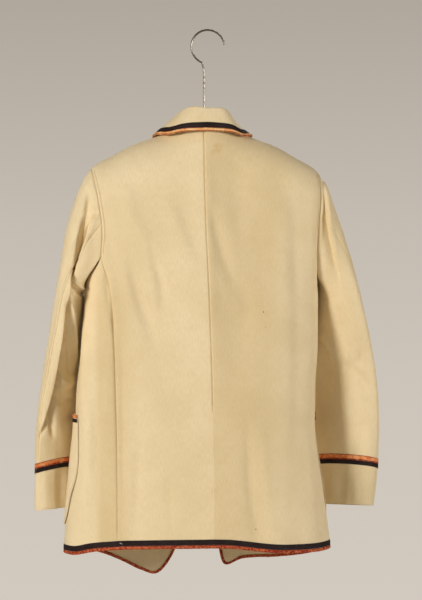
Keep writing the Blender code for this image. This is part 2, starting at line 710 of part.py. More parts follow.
def sleeve_piece(name, grid, normals, first, last, colour, collection):
    """The columns of a sleeve from first to last as one piece, with a gap at both seams."""
    count = grid.shape[1]
    columns = [k % count for k in range(first, last + 1)]
    points = grid[:, columns].copy()
    down = mean_run(points, 0)
    for end, beside in ((0, 1), (-1, -2)):
        across = np.cross(down[:, end], normals[:, columns[end]])
        across = across / np.linalg.norm(across, axis=1, keepdims=True)
        toward = np.sign((across * (points[:, beside] - points[:, end])).sum(axis=1, keepdims=True))
        points[:, end] += across * toward * SEAM_GAP / 2
    cloth = Cloth()
    numbers = cloth.add(points, normals[:, columns])
    cloth.fill(numbers)
    return cloth_wall(name, cloth, colour, collection)


def collar_frame(fold, columns):
    """Directions at the collar's fold: along it, down from it and away from the neck."""
    run = np.gradient(fold, columns, axis=0)
    run = run / np.linalg.norm(run, axis=1, keepdims=True)
    down = np.array([0, 0, -1]) + run * run[:, 2:]
    down = down / np.linalg.norm(down, axis=1, keepdims=True)
    away = np.cross(down, run)
    return run, down, away * -np.sign(away[len(away) // 2, 1])


def collar_touch(flat, turn):
    """The angle at which a straight line from a point meets the round of the fold."""
    distance = np.hypot(flat[:, 0], flat[:, 1])
    return np.arctan2(flat[:, 1], flat[:, 0]) + turn * np.arccos(FOLD_ROUND / distance)


def collar_grid(columns, stand_rows, fold_rows, leaf_rows):
    """Points of the collar: rows run from its seam, over the fold, to its outer edge."""
    tables = {side: [smooth_line(COLLAR[side], np.abs(columns), k) for k in range(1, 11)] for side in COLLAR}
    values = np.where(columns < 0, tables[LEFT], tables[RIGHT])
    for k in (0, 3, 6):
        values[k] = NECK_X - 3 * (1 - np.abs(columns)) + np.sign(columns) * values[k]
    seam, fold, edge = (values[k:k + 3].T * [1, 1, -1] for k in (0, 3, 6))
    run, down, away = collar_frame(fold, columns)
    centre = fold + FOLD_ROUND * down
    frame = np.stack([away, down, run], axis=1)
    seam_flat, edge_flat = (np.einsum("nij,nj->ni", frame, p - centre) for p in (seam, edge))
    first = collar_touch(seam_flat, 1)
    last = collar_touch(edge_flat, -1) + 2 * np.pi
    angles = first + (last - first) * np.asarray(fold_rows)[:, None]
    arc = FOLD_ROUND * np.stack([np.cos(angles), np.sin(angles), np.zeros_like(angles)], axis=-1)
    stand = seam_flat + (arc[0] - seam_flat) * np.asarray(stand_rows)[:, None, None]
    span = edge_flat - arc[-1]
    length = np.linalg.norm(span, axis=1)
    strips = [1 - width / length for width in (ORANGE_WIDTH + BLACK_WIDTH, ORANGE_WIDTH, 0)]
    shares = np.stack([row * strips[0] for row in leaf_rows] + strips)[..., None]
    bow = np.stack([span[:, 1], -span[:, 0], 0 * length], axis=-1) / length[:, None]
    leaf = arc[-1] + span * shares + bow * np.sin(np.pi * shares) * values[9][:, None]
    flat = np.concatenate([stand, arc, leaf])
    grid = centre + np.einsum("rni,nij->rnj", flat, frame)
    normals = grid_normals(grid, closed=False)
    return grid, normals * -np.sign(normals[-1, len(columns) // 2, 1])


def lapel_grid(side, rows, columns):
    """Points of a lapel that lies on its front: rows along the roll, columns outwards."""
    line = [(NECK_X + side * x, d) for x, d in ROLL_LINE]
    edge_x, edge_drop = FRONT_EDGE[side][-1]
    roll = smooth_path([(edge_x + side, edge_drop - 2)] + line[1:], rows * LAPEL_TOP)
    run = np.gradient(roll, axis=0)
    run = run / np.linalg.norm(run, axis=1, keepdims=True)
    out = np.column_stack([-run[:, 1], run[:, 0]]) * side
    tilt = np.radians(GORGE_SLOPE) * rows[:, None] ** 4
    out = out * np.cos(tilt) - run * np.sin(tilt)
    width = smooth_line(LAPEL, rows)[:, None]
    taped = (ORANGE_WIDTH + BLACK_WIDTH) * np.minimum(1, width / 22)
    strip = np.array([1, ORANGE_WIDTH / (ORANGE_WIDTH + BLACK_WIDTH), 0])
    reach = np.concatenate([(width - taped) * columns[None, :-1], width - taped * strip], axis=1)
    places = roll[:, None] + out[:, None] * reach[..., None]
    x, drop = places[..., 0], places[..., 1]
    turn = turn_on_front(x, drop)
    normals = torso_normal(turn, drop)
    return torso_point(turn, drop) + normals * (LAPEL_LIFT + CLOTH), normals


def pocket_places(side, columns, rows):
    """Turns and drops of a pocket's points, with round lower corners."""
    first, last, top, bottom = POCKET[side]
    across, down = np.meshgrid(columns, rows)
    near = np.clip((CORNER_WIDTH - 0.5 + np.abs(across - 0.5)) / CORNER_WIDTH, 0, 1)
    raised = (1 - np.sqrt(1 - near**2)) * CORNER_HEIGHT * down**2
    turn = side * (first + (last - first) * across)
    return turn, top + (bottom - top) * (down - raised), across, down


def pocket_points(side, columns, rows):
    """Outer and inner points of a pocket, which lies on its front."""
    turn, drop, across, down = pocket_places(side, columns, rows)
    points, normals = torso_point(turn, drop), torso_normal(turn, drop)
    bulge = POCKET_BULGE * np.sin(np.pi * across) * np.cos(np.pi / 2 * down) ** 0.5
    low = points + normals * (POCKET_LIFT + bulge)[..., None]
    return low + normals * CLOTH, low, normals


def loft(name, rings, colour, collection):
    """A closed solid through rings of points, with a cap on each end."""
    count = len(rings[0])
    faces = []
    for r in range(len(rings) - 1):
        for k in range(count):
            a, b = r * count + k, r * count + (k + 1) % count
            faces.append((a, b, b + count, a + count))
    faces.append(tuple(range(count)))
    faces.append(tuple((len(rings) - 1) * count + k for k in range(count)))
    mesh = bpy.data.meshes.new(name)
    mesh.from_pydata((np.concatenate(rings) * MM).tolist(), [], faces)
    return finish(name, mesh, colour, collection)


def hanger_arms(colour, collection):
    """The wooden bar inside the shoulders."""
    rings = []
    half = HANGER_STATIONS
    for x in [-h for h in half[:0:-1]] + half:
        end = max(0.0, abs(x) - HANGER_ROUND_FROM) / (half[-1] - HANGER_ROUND_FROM)
        size = math.sqrt(max(0.0, 1 - end**2)) * (1 - HANGER_END_SIZE) + HANGER_END_SIZE
        top = float(smooth_line(HANGER_TOP, abs(x)))
        angles = np.linspace(0, 2 * np.pi, 12, endpoint=False) + np.pi / 2
        y = HANGER_HALF_THICK * size * np.cos(angles)
        z = -top - HANGER_HALF_HEIGHT * size + HANGER_HALF_HEIGHT * size * np.sin(angles)
        rings.append(np.column_stack([np.full(12, NECK_X + x), y, z]))
    return loft("hanger_arms", rings, colour, collection)


def hanger_hook(colour, collection):
    """The wire hook, from the bar up and round to its open end."""
    radius = HOOK_INSIDE + HOOK_WIRE
    points = [(NECK_X, 160 - 0.4), (NECK_X, 120), (NECK_X, 76), (NECK_X - 0.6, 66)]
    for angle in np.radians(np.linspace(248, 8, 25)):
        points.append((radius * math.cos(angle), HOOK_INSIDE - radius * math.sin(angle)))
    curve = bpy.data.curves.new("hanger_hook", "CURVE")
    curve.dimensions = "3D"
    spline = curve.splines.new("POLY")
    spline.points.add(len(points) - 1)
    for point, (x, drop) in zip(spline.points, points):
        point.co = (x * MM, 0, -drop * MM, 1)
    curve.bevel_depth = HOOK_WIRE * MM
    curve.bevel_resolution = 2
    curve.use_fill_caps = True
    curve.materials.append(colour)
    hook = bpy.data.objects.new("hanger_hook", curve)
    collection.objects.link(hook)
    return hook


def button(name, drop, colour, collection):
    """A plain round button on the right front."""
    edge = smooth_line([(d, x) for x, d in reversed(FRONT_EDGE[RIGHT])], drop)
    turn = float(turn_on_front(edge + BUTTON_INSET, drop))
    centre = torso_point(turn, drop)
    normal = torso_normal(turn, drop)
    centre = centre + normal * (BUTTON_LIFT + BUTTON_THICK / 2)
    bpy.ops.mesh.primitive_cylinder_add(
        vertices=20, radius=BUTTON_RADIUS * MM, depth=BUTTON_THICK * MM, location=tuple(centre * MM))
    made = bpy.context.object
    made.name = made.data.name = name
    made.rotation_euler = (math.acos(float(normal[2])), 0, math.atan2(normal[1], normal[0]) + math.pi / 2)
    bevel = made.modifiers.new("rim", "BEVEL")
    bevel.width = 1.0 * MM
    bevel.segments = 1
    bevel.limit_method = "ANGLE"
    for group in made.users_collection:
        group.objects.unlink(made)
    collection.objects.link(made)
    made.data.materials.append(colour)
    return made


def clear_scene():
    for thing in list(bpy.data.objects):
        bpy.data.objects.remove(thing)


def build():
    clear_scene()
    parts = bpy.data.collections.new("blazer_on_hanger")
    bpy.context.scene.collection.children.link(parts)
    cream = material("cream_wool", CREAM, 0.9)
    black = material("black_tape", BLACK, 0.7)
    orange = material("orange_tape", ORANGE, 0.75)
    wood = material("wood", WOOD, 0.5)
    steel = material("steel", STEEL, 0.3, 1.0)
    horn = material("horn", HORN, 0.35)

    rails = {}
    loops = {}
    for side, word in ((LEFT, "left"), (RIGHT, "right")):
        back, back_arm, back_rails = back_half(side, BACK_COLUMNS, ARM_ROWS, LOW_ROWS)
        cloth_wall(f"back_{word}", back, cream, parts)
        front, front_arm, front_rails = front_panel(
            side, SIDE_COLUMNS[side], FRONT_COLUMNS, ARM_ROWS, LOW_ROWS)
        cloth_wall(f"front_{word}", front, cream, parts)
        rails[side] = ((back, back_rails), (front, front_rails))
        loops[side] = [
            np.concatenate([a[back_arm], b[front_arm][1:-1]])
            for a, b in ((back.points, front.points), (back.normals, front.normals))
        ]

    for name, near, colour in (("edge_tape_black", 0, black), ("edge_tape_orange", 1, orange)):
        chain = []
        (back, back_rails), (front, front_rails) = rails[RIGHT]
        chain.append((front, front_rails[:, ::-1]))
        chain.append((back, back_rails[:, ::-1]))
        (back, back_rails), (front, front_rails) = rails[LEFT]
        chain.append((back, back_rails))
        chain.append((front, front_rails))
        points, normals = edge_rails(chain)
        tape(name, points[near], normals[near], points[near + 1], normals[near + 1], colour, parts)

    tape_rows = CUFF_TAPE_DROP + np.array([0, CUFF_ORANGE_WIDTH, CUFF_ORANGE_WIDTH + BLACK_WIDTH])
    rows = np.concatenate([SLEEVE_DROPS, tape_rows, [BELOW_CUFF_TAPE, CUFF_DROP]])
    for side, word in ((LEFT, "left"), (RIGHT, "right")):
        grid, normals, angles = sleeve(side, *loops[side], HEAD_ROWS, rows)
        hind = int(np.argmin(np.abs(angles - HIND_SEAM)))
        fore = int(np.argmin(np.abs(angles - FORE_SEAM)))
        count = len(angles)
        sleeve_piece(f"sleeve_{word}_under", grid, normals, hind, fore, cream, parts)
        sleeve_piece(f"sleeve_{word}_upper", grid, normals, fore, hind + count, cream, parts)
        for colour_word, row, colour in (("orange", -5, orange), ("black", -4, black)):
            tape(f"cuff_tape_{word}_{colour_word}", grid[row], normals[row], grid[row + 1],
                 normals[row + 1], colour, parts, closed=True)

    grid, normals = collar_grid(COLLAR_COLUMNS, STAND_ROWS, FOLD_ROWS, LEAF_ROWS)
    collar = Cloth()
    numbers = collar.add(grid, normals)
    collar.fill(numbers)
    cloth_wall("collar", collar, cream, parts)
    for colour_word, row, colour in (("black", -3, black), ("orange", -2, orange)):
        tape(f"collar_tape_{colour_word}", grid[row], normals[row], grid[row + 1],
             normals[row + 1], colour, parts, lift=2 * TAPE_LIFT)

    top, bottom = POCKET[LEFT][2:]
    taped = np.array([0.5, 1]) * (ORANGE_WIDTH + BLACK_WIDTH) / (bottom - top)
    pocket_rows = np.concatenate([[0], taped, POCKET_ROWS])
    for side, word in ((LEFT, "left"), (RIGHT, "right")):
        grid, normals = lapel_grid(side, LAPEL_ROWS, LAPEL_COLUMNS)
        lapel = Cloth()
        lapel.fill(lapel.add(grid, normals))
        cloth_wall(f"lapel_{word}", lapel, cream, parts)
        tape(f"lapel_tape_{word}", grid[:, -3], normals[:, -3], grid[:, -1], normals[:, -1],
             black, parts)
        outer, inner, normals = pocket_points(side, POCKET_COLUMNS, pocket_rows)
        pocket = Cloth()
        pocket.fill(pocket.add(outer, normals))
        wall(f"pocket_{word}", pocket.points, inner.reshape(-1, 3), pocket.cells, cream, parts)
        tape(f"pocket_tape_{word}", outer[0], normals[0], outer[2], normals[2], black, parts)

    for name, drop in zip(("button_top", "button_middle", "button_bottom"), BUTTON_DROPS):
        button(name, drop, horn, parts)
    hanger_arms(wood, parts)
    hanger_hook(steel, parts)


build()
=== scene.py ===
"""The looks of the blazer on its hanger.

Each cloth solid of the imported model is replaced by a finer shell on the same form, worked out
from the same sizes, with its creases, seams, tapes and stitches. The frame is in metres and the
tables are in millimetres. "drop" is the distance below the origin, and "turn" is the direction
round the body in degrees: 0 at the centre of the back, 90 at the side, 180 at the front.
"""

import math

import bpy
import numpy as np
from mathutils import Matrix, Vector
from mathutils.kdtree import KDTree
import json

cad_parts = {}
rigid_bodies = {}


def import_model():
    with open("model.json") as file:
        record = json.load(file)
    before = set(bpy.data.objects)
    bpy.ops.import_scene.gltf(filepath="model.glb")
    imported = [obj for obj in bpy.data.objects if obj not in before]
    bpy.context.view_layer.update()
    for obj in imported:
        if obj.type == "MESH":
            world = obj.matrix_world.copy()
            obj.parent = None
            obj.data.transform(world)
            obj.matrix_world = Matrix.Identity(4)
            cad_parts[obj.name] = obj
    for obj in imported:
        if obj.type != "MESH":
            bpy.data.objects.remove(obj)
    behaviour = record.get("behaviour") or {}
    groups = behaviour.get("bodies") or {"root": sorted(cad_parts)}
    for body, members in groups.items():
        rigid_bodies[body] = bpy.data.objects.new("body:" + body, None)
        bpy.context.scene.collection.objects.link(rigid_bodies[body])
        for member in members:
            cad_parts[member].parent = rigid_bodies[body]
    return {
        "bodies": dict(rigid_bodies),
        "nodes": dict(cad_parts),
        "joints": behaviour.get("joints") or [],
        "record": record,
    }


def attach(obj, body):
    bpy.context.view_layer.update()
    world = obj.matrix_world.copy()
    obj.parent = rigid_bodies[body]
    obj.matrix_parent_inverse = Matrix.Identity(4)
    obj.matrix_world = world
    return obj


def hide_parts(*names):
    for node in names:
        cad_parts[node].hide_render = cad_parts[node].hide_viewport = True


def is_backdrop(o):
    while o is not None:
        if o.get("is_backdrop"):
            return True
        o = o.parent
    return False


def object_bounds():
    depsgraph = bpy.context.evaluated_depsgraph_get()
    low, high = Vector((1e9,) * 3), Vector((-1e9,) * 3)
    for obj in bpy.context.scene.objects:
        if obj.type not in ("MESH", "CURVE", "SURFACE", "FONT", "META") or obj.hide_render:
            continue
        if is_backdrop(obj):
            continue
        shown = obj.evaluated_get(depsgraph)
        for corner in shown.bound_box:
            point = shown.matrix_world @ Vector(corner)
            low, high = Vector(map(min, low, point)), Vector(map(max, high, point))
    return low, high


MM = 0.001
CLOTH = 2.0
SEAM_GAP = 0.02
LEFT = -1
RIGHT = 1
WORDS = {LEFT: "left", RIGHT: "right"}

# Steps in degrees and millimetres that a normal is read over, how close to the shoulder's ridge
# it looks up, and how many rounds a value is worked out in, from a first guess.
TURN_STEP = 0.2
DROP_STEP = 0.4
RIDGE_REACH = 0.6
ROUNDS = 12
SHOULDER_GUESS = 200.0
# What counts as the same row, and how closely edges and seams are followed.
SAME = 1e-6
EDGE_STEP = 1.5
SEAM_STEP = 1.0

# Body: how boxy its sections are, and how round the shoulder is in section.
BOXY = 0.2
SHOULDER_ROUND = 60.0
NECK_X = -7.0
NECK_SIDE = 57.0
NECK_DROP = 167.0
# drop, centre x, half width, back depth, front depth
TORSO = (
    (160, -6.0, 228.0, 50, 42),
    (250, -3.0, 230.0, 59, 48),
    (345, -9.0, 224.0, 71, 56),
    (400, -10.5, 213.0, 78, 60),
    (440, -11.5, 207.0, 84, 64),
    (548, -15.0, 208.5, 93, 70),
    (635, -22.0, 210.5, 98, 72),
    (694, -24.0, 211.0, 101, 73),
    (751, -22.5, 218.0, 105, 75),
    (833, -20.0, 228.5, 111, 77),
    (899, -18.5, 235.0, 115, 78),
    (970, -18.0, 239.0, 118, 79),
)
# distance from the neck's centre, drop of the shoulder line
SHOULDER_LINE = (
    (0, 139),
    (30, 154),
    (57, 172),
    (77, 184),
    (98, 191.5),
    (130, 203.5),
    (162, 221),
    (193, 238),
    (206, 248),
    (240, 270),
)
# turn of the fold, then its drop, at the top, middle and bottom; half width in degrees; depth.
# A fold that ends below FOLD_TO_HEM runs on to the hem.
FOLD_TO_HEM = 890
FOLDS = (
    (-49, 262, -46, 370, -41, 500, 5.0, -3.5),
    (-43, 280, -37, 473, -24, 700, 6.0, 4.0),
    (-36, 290, -32, 392, -28, 520, 5.0, -3.0),
    (-19, 290, -12, 416, -6, 530, 5.0, 3.0),
    (-17, 400, -18, 460, -19, 560, 4.5, -2.0),
    (2, 290, 8, 400, 13, 520, 5.0, 2.5),
    (17, 300, 21, 400, 22, 500, 5.0, -2.5),
    (28, 290, 33, 400, 39, 520, 5.5, 3.0),
    (16, 690, 18.5, 808, 18.5, 899, 4.5, -4.0),
    (26, 700, 27, 820, 27, 905, 5.5, 3.0),
    (-44, 650, -45, 790, -44, 905, 4.5, -3.0),
    (-54, 650, -54, 790, -56, 905, 4.5, -2.5),
    (-31, 790, -31, 860, -31, 899, 4.5, -2.0),
    (130, 470, 135, 640, 140, 860, 7.0, 4.0),
    (-128, 470, -134, 640, -138, 860, 7.0, 4.0),
)

# Seams, as drop and x on the back of the body.
CENTRE_SEAM = ((150, -16), (260, -17), (361, -16), (491, -13), (645, -9), (780, -8), (930, -10))
ARMHOLE_BACK = {
    LEFT: ((250, -208), (309, -199), (352, -194), (398, -196)),
    RIGHT: ((246, 196), (300, 195), (345, 191), (398, 188), (428, 189)),
}
SIDE_SEAM = {
    LEFT: ((398, -196), (439, -187), (473, -181), (533, -178), (682, -175), (908, -174)),
    RIGHT: ((428, 189), (521, 188), (610, 183), (698, 181), (751, 190), (815, 199), (911, 211)),
}
# Lowest part of the armhole: turn, drop.
UNDERARM = {
    LEFT: ((53, 398), (63, 417), (77, 433), (90, 438), (104, 434)),
    RIGHT: ((68, 428), (78, 435), (90, 438), (104, 434)),
}
# Front of the armhole from the underarm to the shoulder: x, drop.
ARMHOLE_FRONT = {
    LEFT: ((-215, 434), (-198, 402), (-193, 350), (-198, 300), (-208, 250)),
    RIGHT: ((192, 434), (188, 402), (189, 350), (194, 300), (196, 246)),
}
FRONT_LINE = ((104, 434), (106, 650), (108, 925))
# Hem round the body, from the centre of the back: turn, drop.
HEM = {
    LEFT: ((0, 897), (20, 897), (38, 899), (48, 902), (58, 908), (90, 912), (108, 914), (146, 925),
           (152, 934), (160, 951), (164.8, 959), (168, 959.5)),
    RIGHT: ((0, 897), (10, 899), (17, 904), (29, 909), (39, 910), (77, 910), (90, 912), (108, 919),
            (128, 929), (149, 935), (158.7, 936), (163.4, 940), (167.5, 946.5)),
}
# Front edge from the lower corner to where the lapel turns back: x, drop.
FRONT_EDGE = {
    LEFT: ((-72, 957), (-62, 950), (-55, 938), (-48, 920), (-42, 880), (-35, 750), (-28, 600), (-22, 445)),
    RIGHT: ((35, 946), (33, 938), (33, 925), (32, 880), (27, 750), (20, 600), (14, 445)),
}
# Roll of the lapel from there to the neck: distance from the neck's centre, drop.
ROLL_LINE = ((19, 425), (33, 330), (47, 240), (57, 178))

ORANGE_WIDTH = 6.5
BLACK_WIDTH = 8.0
TAPE_LIFT = 0.3
TAPE_THICK = 0.6

# Sleeves: drop, centre x, centre y, half thickness, half depth, and the turn of the section.
SLEEVE = {
    LEFT: (
        (480, 240, 28, 25, 74, 18),
        (544, 246, 34, 26, 72, 22),
        (600, 252, 42, 28, 69, 26),
        (657, 255.5, 52, 28.5, 67, 32),
        (728, 256.5, 64, 29.5, 63, 38),
        (799, 255.5, 73, 31, 59, 41),
        (850, 256, 78, 32, 57, 41),
    ),
    RIGHT: (
        (480, 228, 14, 28, 74, 30),
        (544, 237.5, 24, 31, 72, 40),
        (600, 247, 35, 32, 70, 46),
        (657, 254, 43, 33, 67, 50),
        (728, 258, 50, 34, 64, 55),
        (799, 259, 56, 33, 60, 58),
        (850, 257, 60, 33, 57, 58),
    ),
}
# How a sleeve starts down from the shoulder: share outwards and down; weight of the way to its ring.
SLEEVE_SLOPE = (0.74, -0.67)
CHORD_WEIGHT = 0.7
HEAD_DROP = 480.0
CUFF_DROP = 842.0
CUFF_TAPE_DROP = 757.0
CUFF_ORANGE_WIDTH = 9.5
# How alike the sleeve's and the body's normals are where the sleeve starts along the cloth, and
# its further gap there.
ALIKE = 0.6
START_GAP = 0.2
# Angle round the sleeve of its two seams.
HIND_SEAM = 88
FORE_SEAM = 225
# A sleeve fold that turns more than this many degrees runs round the sleeve.
FOLD_ACROSS = 25
# Drop, and how much lower the outer side of the sleeve's section is than the drop.
SLEEVE_TILT = ((480, 0), (762, 9), (850, 3))
# Sleeve folds: angle round the sleeve and drop at both ends, half width in degrees, depth.
SLEEVE_FOLDS = (
    (88, 500, 92, 760, 14, 3.0),
    (62, 400, 66, 640, 13, -3.5),
    (128, 500, 122, 700, 14, -2.5),
    (25, 470, 20, 640, 16, 2.5),
    (235, 560, 300, 600, 14, -4.0),
    (120, 575, 160, 600, 14, -4.0),
)

# Collar, from the centre back: share of its length, then x from the neck's centre, y and drop
# of its seam, of its fold and of its outer edge, and how far the leaf bows out between them.
COLLAR = {
    LEFT: (
        (0.00, 0, -43, 166, 0, -50, 139, 0, -57.5, 179, 1.5),
        (0.20, 28, -38, 166, 26, -46, 137, 42, -55, 180.5, 1.5),
        (0.40, 48, -21, 167, 41, -29, 143, 71, -38, 185, 1.0),
        (0.55, 55, -1, 170, 48, -4, 150, 87, -6, 183, 0.5),
        (0.75, 54, 26, 181, 49, 31, 167, 86, 31, 193, 0.5),
        (1.00, 42, 48, 222, 45, 56, 207, 78, 52, 214, 0.5),
    ),
    RIGHT: (
        (0.00, 0, -43, 166, 0, -50, 139, 0, -57.5, 179, 1.5),
        (0.20, 28, -38, 166, 27, -46, 139, 42, -55, 180.5, 1.0),
        (0.40, 48, -21, 167, 41, -29, 147, 68, -38, 185.5, 0.0),
        (0.55, 55, -1, 170, 47, -4, 154, 86, -6, 182.5, -0.5),
        (0.75, 54, 26, 181, 49, 31, 168, 86, 31, 193, 0.0),
        (1.00, 42, 48, 222, 45, 56, 207, 78, 52, 214, 0.5),
    ),
}
FOLD_ROUND = 4.2

# Lapel: share of the roll line from its lower end, width; then the slope of its top edge.
LAPEL = ((0.0, 7), (0.12, 18), (0.4, 46), (0.7, 70), (0.88, 80), (1.0, 78))
LAPEL_TOP = 0.82
LAPEL_LIFT = 0.8
GORGE_SLOPE = 24.0
# Where a lapel is narrower than this, its tapes are narrower too.
LAPEL_TAPED = 22

# Hip pockets: turn of both edges, drop of the top and bottom; then shares of the width and of
# the height that the round of a lower corner takes.
POCKET = {LEFT: (79, 140, 672, 866), RIGHT: (84, 143, 672, 866)}
CORNER_WIDTH = 0.35
CORNER_HEIGHT = 0.30
POCKET_LIFT = 0.9
POCKET_BULGE = 1.5
# How many degrees the left pocket's rear edge bows towards the back.
POCKET_BOW = {LEFT: 9.0, RIGHT: 0.0}

BUTTON_DROPS = (470, 575, 680)
BUTTON_RADIUS = 10.0
BUTTON_THICK = 3.4
BUTTON_INSET = 26.0
BUTTON_LIFT = 0.4

# Angles round the sleeve between which its cells are narrower, and how many there are in one
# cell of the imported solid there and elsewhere.
REAR_FROM = 18
REAR_TO = 165
REAR_PARTS = 10
FORE_PARTS = 4
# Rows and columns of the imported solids, between which the shells are finer.
BACK_COLUMNS = np.linspace(0, 1, 13)
ARM_ROWS = np.array([0, 0.025, 0.08, 0.17, 0.3, 0.45, 0.62, 0.8, 1.0])
LOW_ROWS = np.linspace(0, 1, 13)
SIDE_COLUMNS = {LEFT: np.linspace(0, 1, 6), RIGHT: np.linspace(0, 1, 4)}
FRONT_COLUMNS = np.linspace(0, 1, 10)
HEAD_ROWS = np.array([0, 0.1, 0.24, 0.42, 0.62, 0.82, 1.0])
SLEEVE_DROPS = (510, 540, 570, 600, 640, 680, 716)
BELOW_CUFF_TAPE = 800

# Kinds of creases: a soft ridge or trough, a step that is high on its left and low on its
# right, and a sharp ridge or trough.
SOFT = 0
STEP = 1
SHARP = 2
# Creases on the body: places as they are seen from the photo's direction, in millimetres right
# of the origin and below it, half width, height and kind.
BODY_CREASES = (
    (((-107, 359), (-92, 407), (-79, 456), (-81, 498)), 9, -5.6, SOFT),
    (((-144, 400), (-123, 456), (-102, 517), (-88, 561)), 12, -6.0, SOFT),
    (((-137, 312), (-109, 368), (-88, 417)), 12, 4.2, SOFT),
    (((-76, 289), (-46, 368), (-18, 442)), 14, 4.6, SOFT),
    (((4, 306), (25, 385), (49, 459)), 10, -5.4, SOFT),
    (((35, 306), (49, 368), (62, 421)), 10, 1.5, SOFT),
    (((53, 431), (69, 477), (67, 530)), 12, -3.1, SOFT),
    (((-7, 136), (-4, 297), (0, 473), (5, 649)), 26, 6.0, SOFT),
    (((53, 143), (53, 297), (53, 473), (49, 632)), 24, -5.0, SOFT),
    (((12, 209), (18, 350), (23, 526)), 10, -1.6, SOFT),
    (((-202, 597), (-197, 737), (-199, 892)), 7, -4.5, SOFT),
    (((-183, 526), (-180, 702), (-181, 892)), 6, 2.2, SOFT),
    (((-209, 509), (-208, 702), (-208, 896)), 14, 5.0, SOFT),
    (((-153, 526), (-151, 702), (-151, 896)), 12, -5.0, SOFT),
    (((-172, 442), (-174, 491), (-176, 553)), 8, 4.0, SOFT),
    (((-169, 473), (-165, 649), (-165, 892)), 6, -3.2, SOFT),
    (((-143, 544), (-141, 720), (-139, 896)), 10, 3.0, SOFT),
    (((70, 685), (76, 808), (88, 896)), 6, -4.0, SOFT),
    (((95, 702), (102, 808), (114, 896)), 9, 2.8, SOFT),
    (((-116, 702), (-125, 808), (-130, 882)), 9, -2.3, SOFT),
    (((-70, 773), (-67, 825), (-63, 885)), 8, -1.8, SOFT),
    (((183, 280), (187, 473), (181, 685), (190, 878)), 9, 4.0, SOFT),
    (((151, 280), (158, 526), (155, 773)), 12, -2.5, SOFT),
    (((-143, 269), (-137, 347), (-123, 407)), 13, 5.4, SOFT),
    (((-183, 414), (-176, 466), (-167, 533)), 6, -5.8, SOFT),
    (((-215, 473), (-218, 561), (-220, 685)), 6, 3.2, SOFT),
    (((-211, 452), (-218, 459), (-222, 473)), 4, 3.6, SOFT),
)
# The same on the sleeves.
SLEEVE_CREASES = {
    LEFT: (
        (((-215, 290), (-225, 340), (-236, 407), (-244, 459), (-253, 509), (-263, 570), (-276, 646),
          (-289, 693), (-299, 715)), 3.4, 11.0, STEP),
        (((-188, 313), (-208, 340), (-218, 368), (-233, 407), (-239, 436)), 3.4, -8.0, STEP),
        (((-206, 280), (-216, 340), (-231, 389), (-239, 431)), 8, -10.0, SOFT),
        (((-227, 297), (-245, 385), (-262, 480), (-278, 570), (-292, 658)), 8, 2.0, SOFT),
        (((-215, 354), (-211, 385), (-222, 421)), 9, 2.4, SOFT),
        (((-240, 438), (-241, 475), (-238, 509), (-234, 558), (-231, 600)), 2.8, 9.0, SHARP),
        (((-230, 449), (-231, 473), (-230, 495)), 4, -3.0, SOFT),
        (((-248, 459), (-249, 519), (-251, 572)), 5, -10.0, SOFT),
        (((-241, 436), (-229, 447), (-216, 456)), 2.4, 7.5, SHARP),
        (((-238, 451), (-227, 459), (-218, 466)), 3.4, -6.5, SOFT),
        (((-266, 597), (-255, 616), (-243, 621), (-231, 605)), 4.5, 6.0, SOFT),
        (((-244, 546), (-243, 584), (-243, 607)), 4.5, -6.0, SOFT),
        (((-268, 641), (-250, 653), (-236, 646)), 8, -5.0, SOFT),
        (((-279, 664), (-276, 690), (-273, 716)), 4.5, -6.5, SOFT),
        (((-262, 672), (-258, 706), (-252, 743)), 9, 2.4, SOFT),
        (((-240, 660), (-238, 700), (-236, 744)), 8, -2.4, SOFT),
        (((-285, 773), (-286, 806), (-284, 841)), 12, 2.9, SOFT),
        (((-256, 762), (-258, 801), (-257, 847)), 9, -4.3, SOFT),
        (((-298, 715), (-299, 781), (-297, 838)), 4.5, 3.0, SOFT),
        (((-212, 290), (-223, 340), (-233, 407), (-241, 459), (-250, 509), (-260, 570), (-274, 646),
          (-286, 693), (-296, 715)), 2.6, -5.0, SOFT),
        (((-191, 315), (-211, 341), (-222, 370), (-236, 407), (-241, 435)), 2.6, -4.5, SOFT),
        (((-236, 456), (-235, 509), (-231, 558), (-228, 593)), 2.4, -3.5, SOFT),
        (((-238, 444), (-227, 453), (-217, 460)), 2.4, -4.5, SOFT),
    ),
    RIGHT: (
        (((201, 255), (208, 306), (215, 361), (225, 417)), 3.6, -8.0, STEP),
        (((218, 354), (225, 400), (236, 452)), 9, -3.0, STEP),
        (((197, 304), (204, 350), (208, 400)), 7, -2.4, SOFT),
        (((193, 535), (206, 556), (213, 568), (222, 586)), 4.5, -5.5, STEP),
        (((197, 560), (202, 590), (208, 646)), 8, -5.0, SOFT),
        (((206, 641), (209, 690), (216, 732)), 9, -2.5, SOFT),
        (((256, 586), (269, 612), (282, 634)), 9, -2.8, SOFT),
        (((239, 560), (262, 590), (292, 600)), 10, 2.4, SOFT),
        (((211, 470), (216, 510), (224, 546)), 9, 2.4, SOFT),
        (((239, 480), (250, 519), (262, 560)), 11, -1.6, SOFT),
        (((236, 641), (248, 679), (255, 729)), 10, 2.0, SOFT),
        (((262, 649), (273, 690), (276, 736)), 8, -1.6, SOFT),
        (((232, 776), (236, 806), (234, 838)), 8, -1.6, SOFT),
        (((256, 778), (260, 808), (258, 836)), 8, 1.6, SOFT),
    ),
}
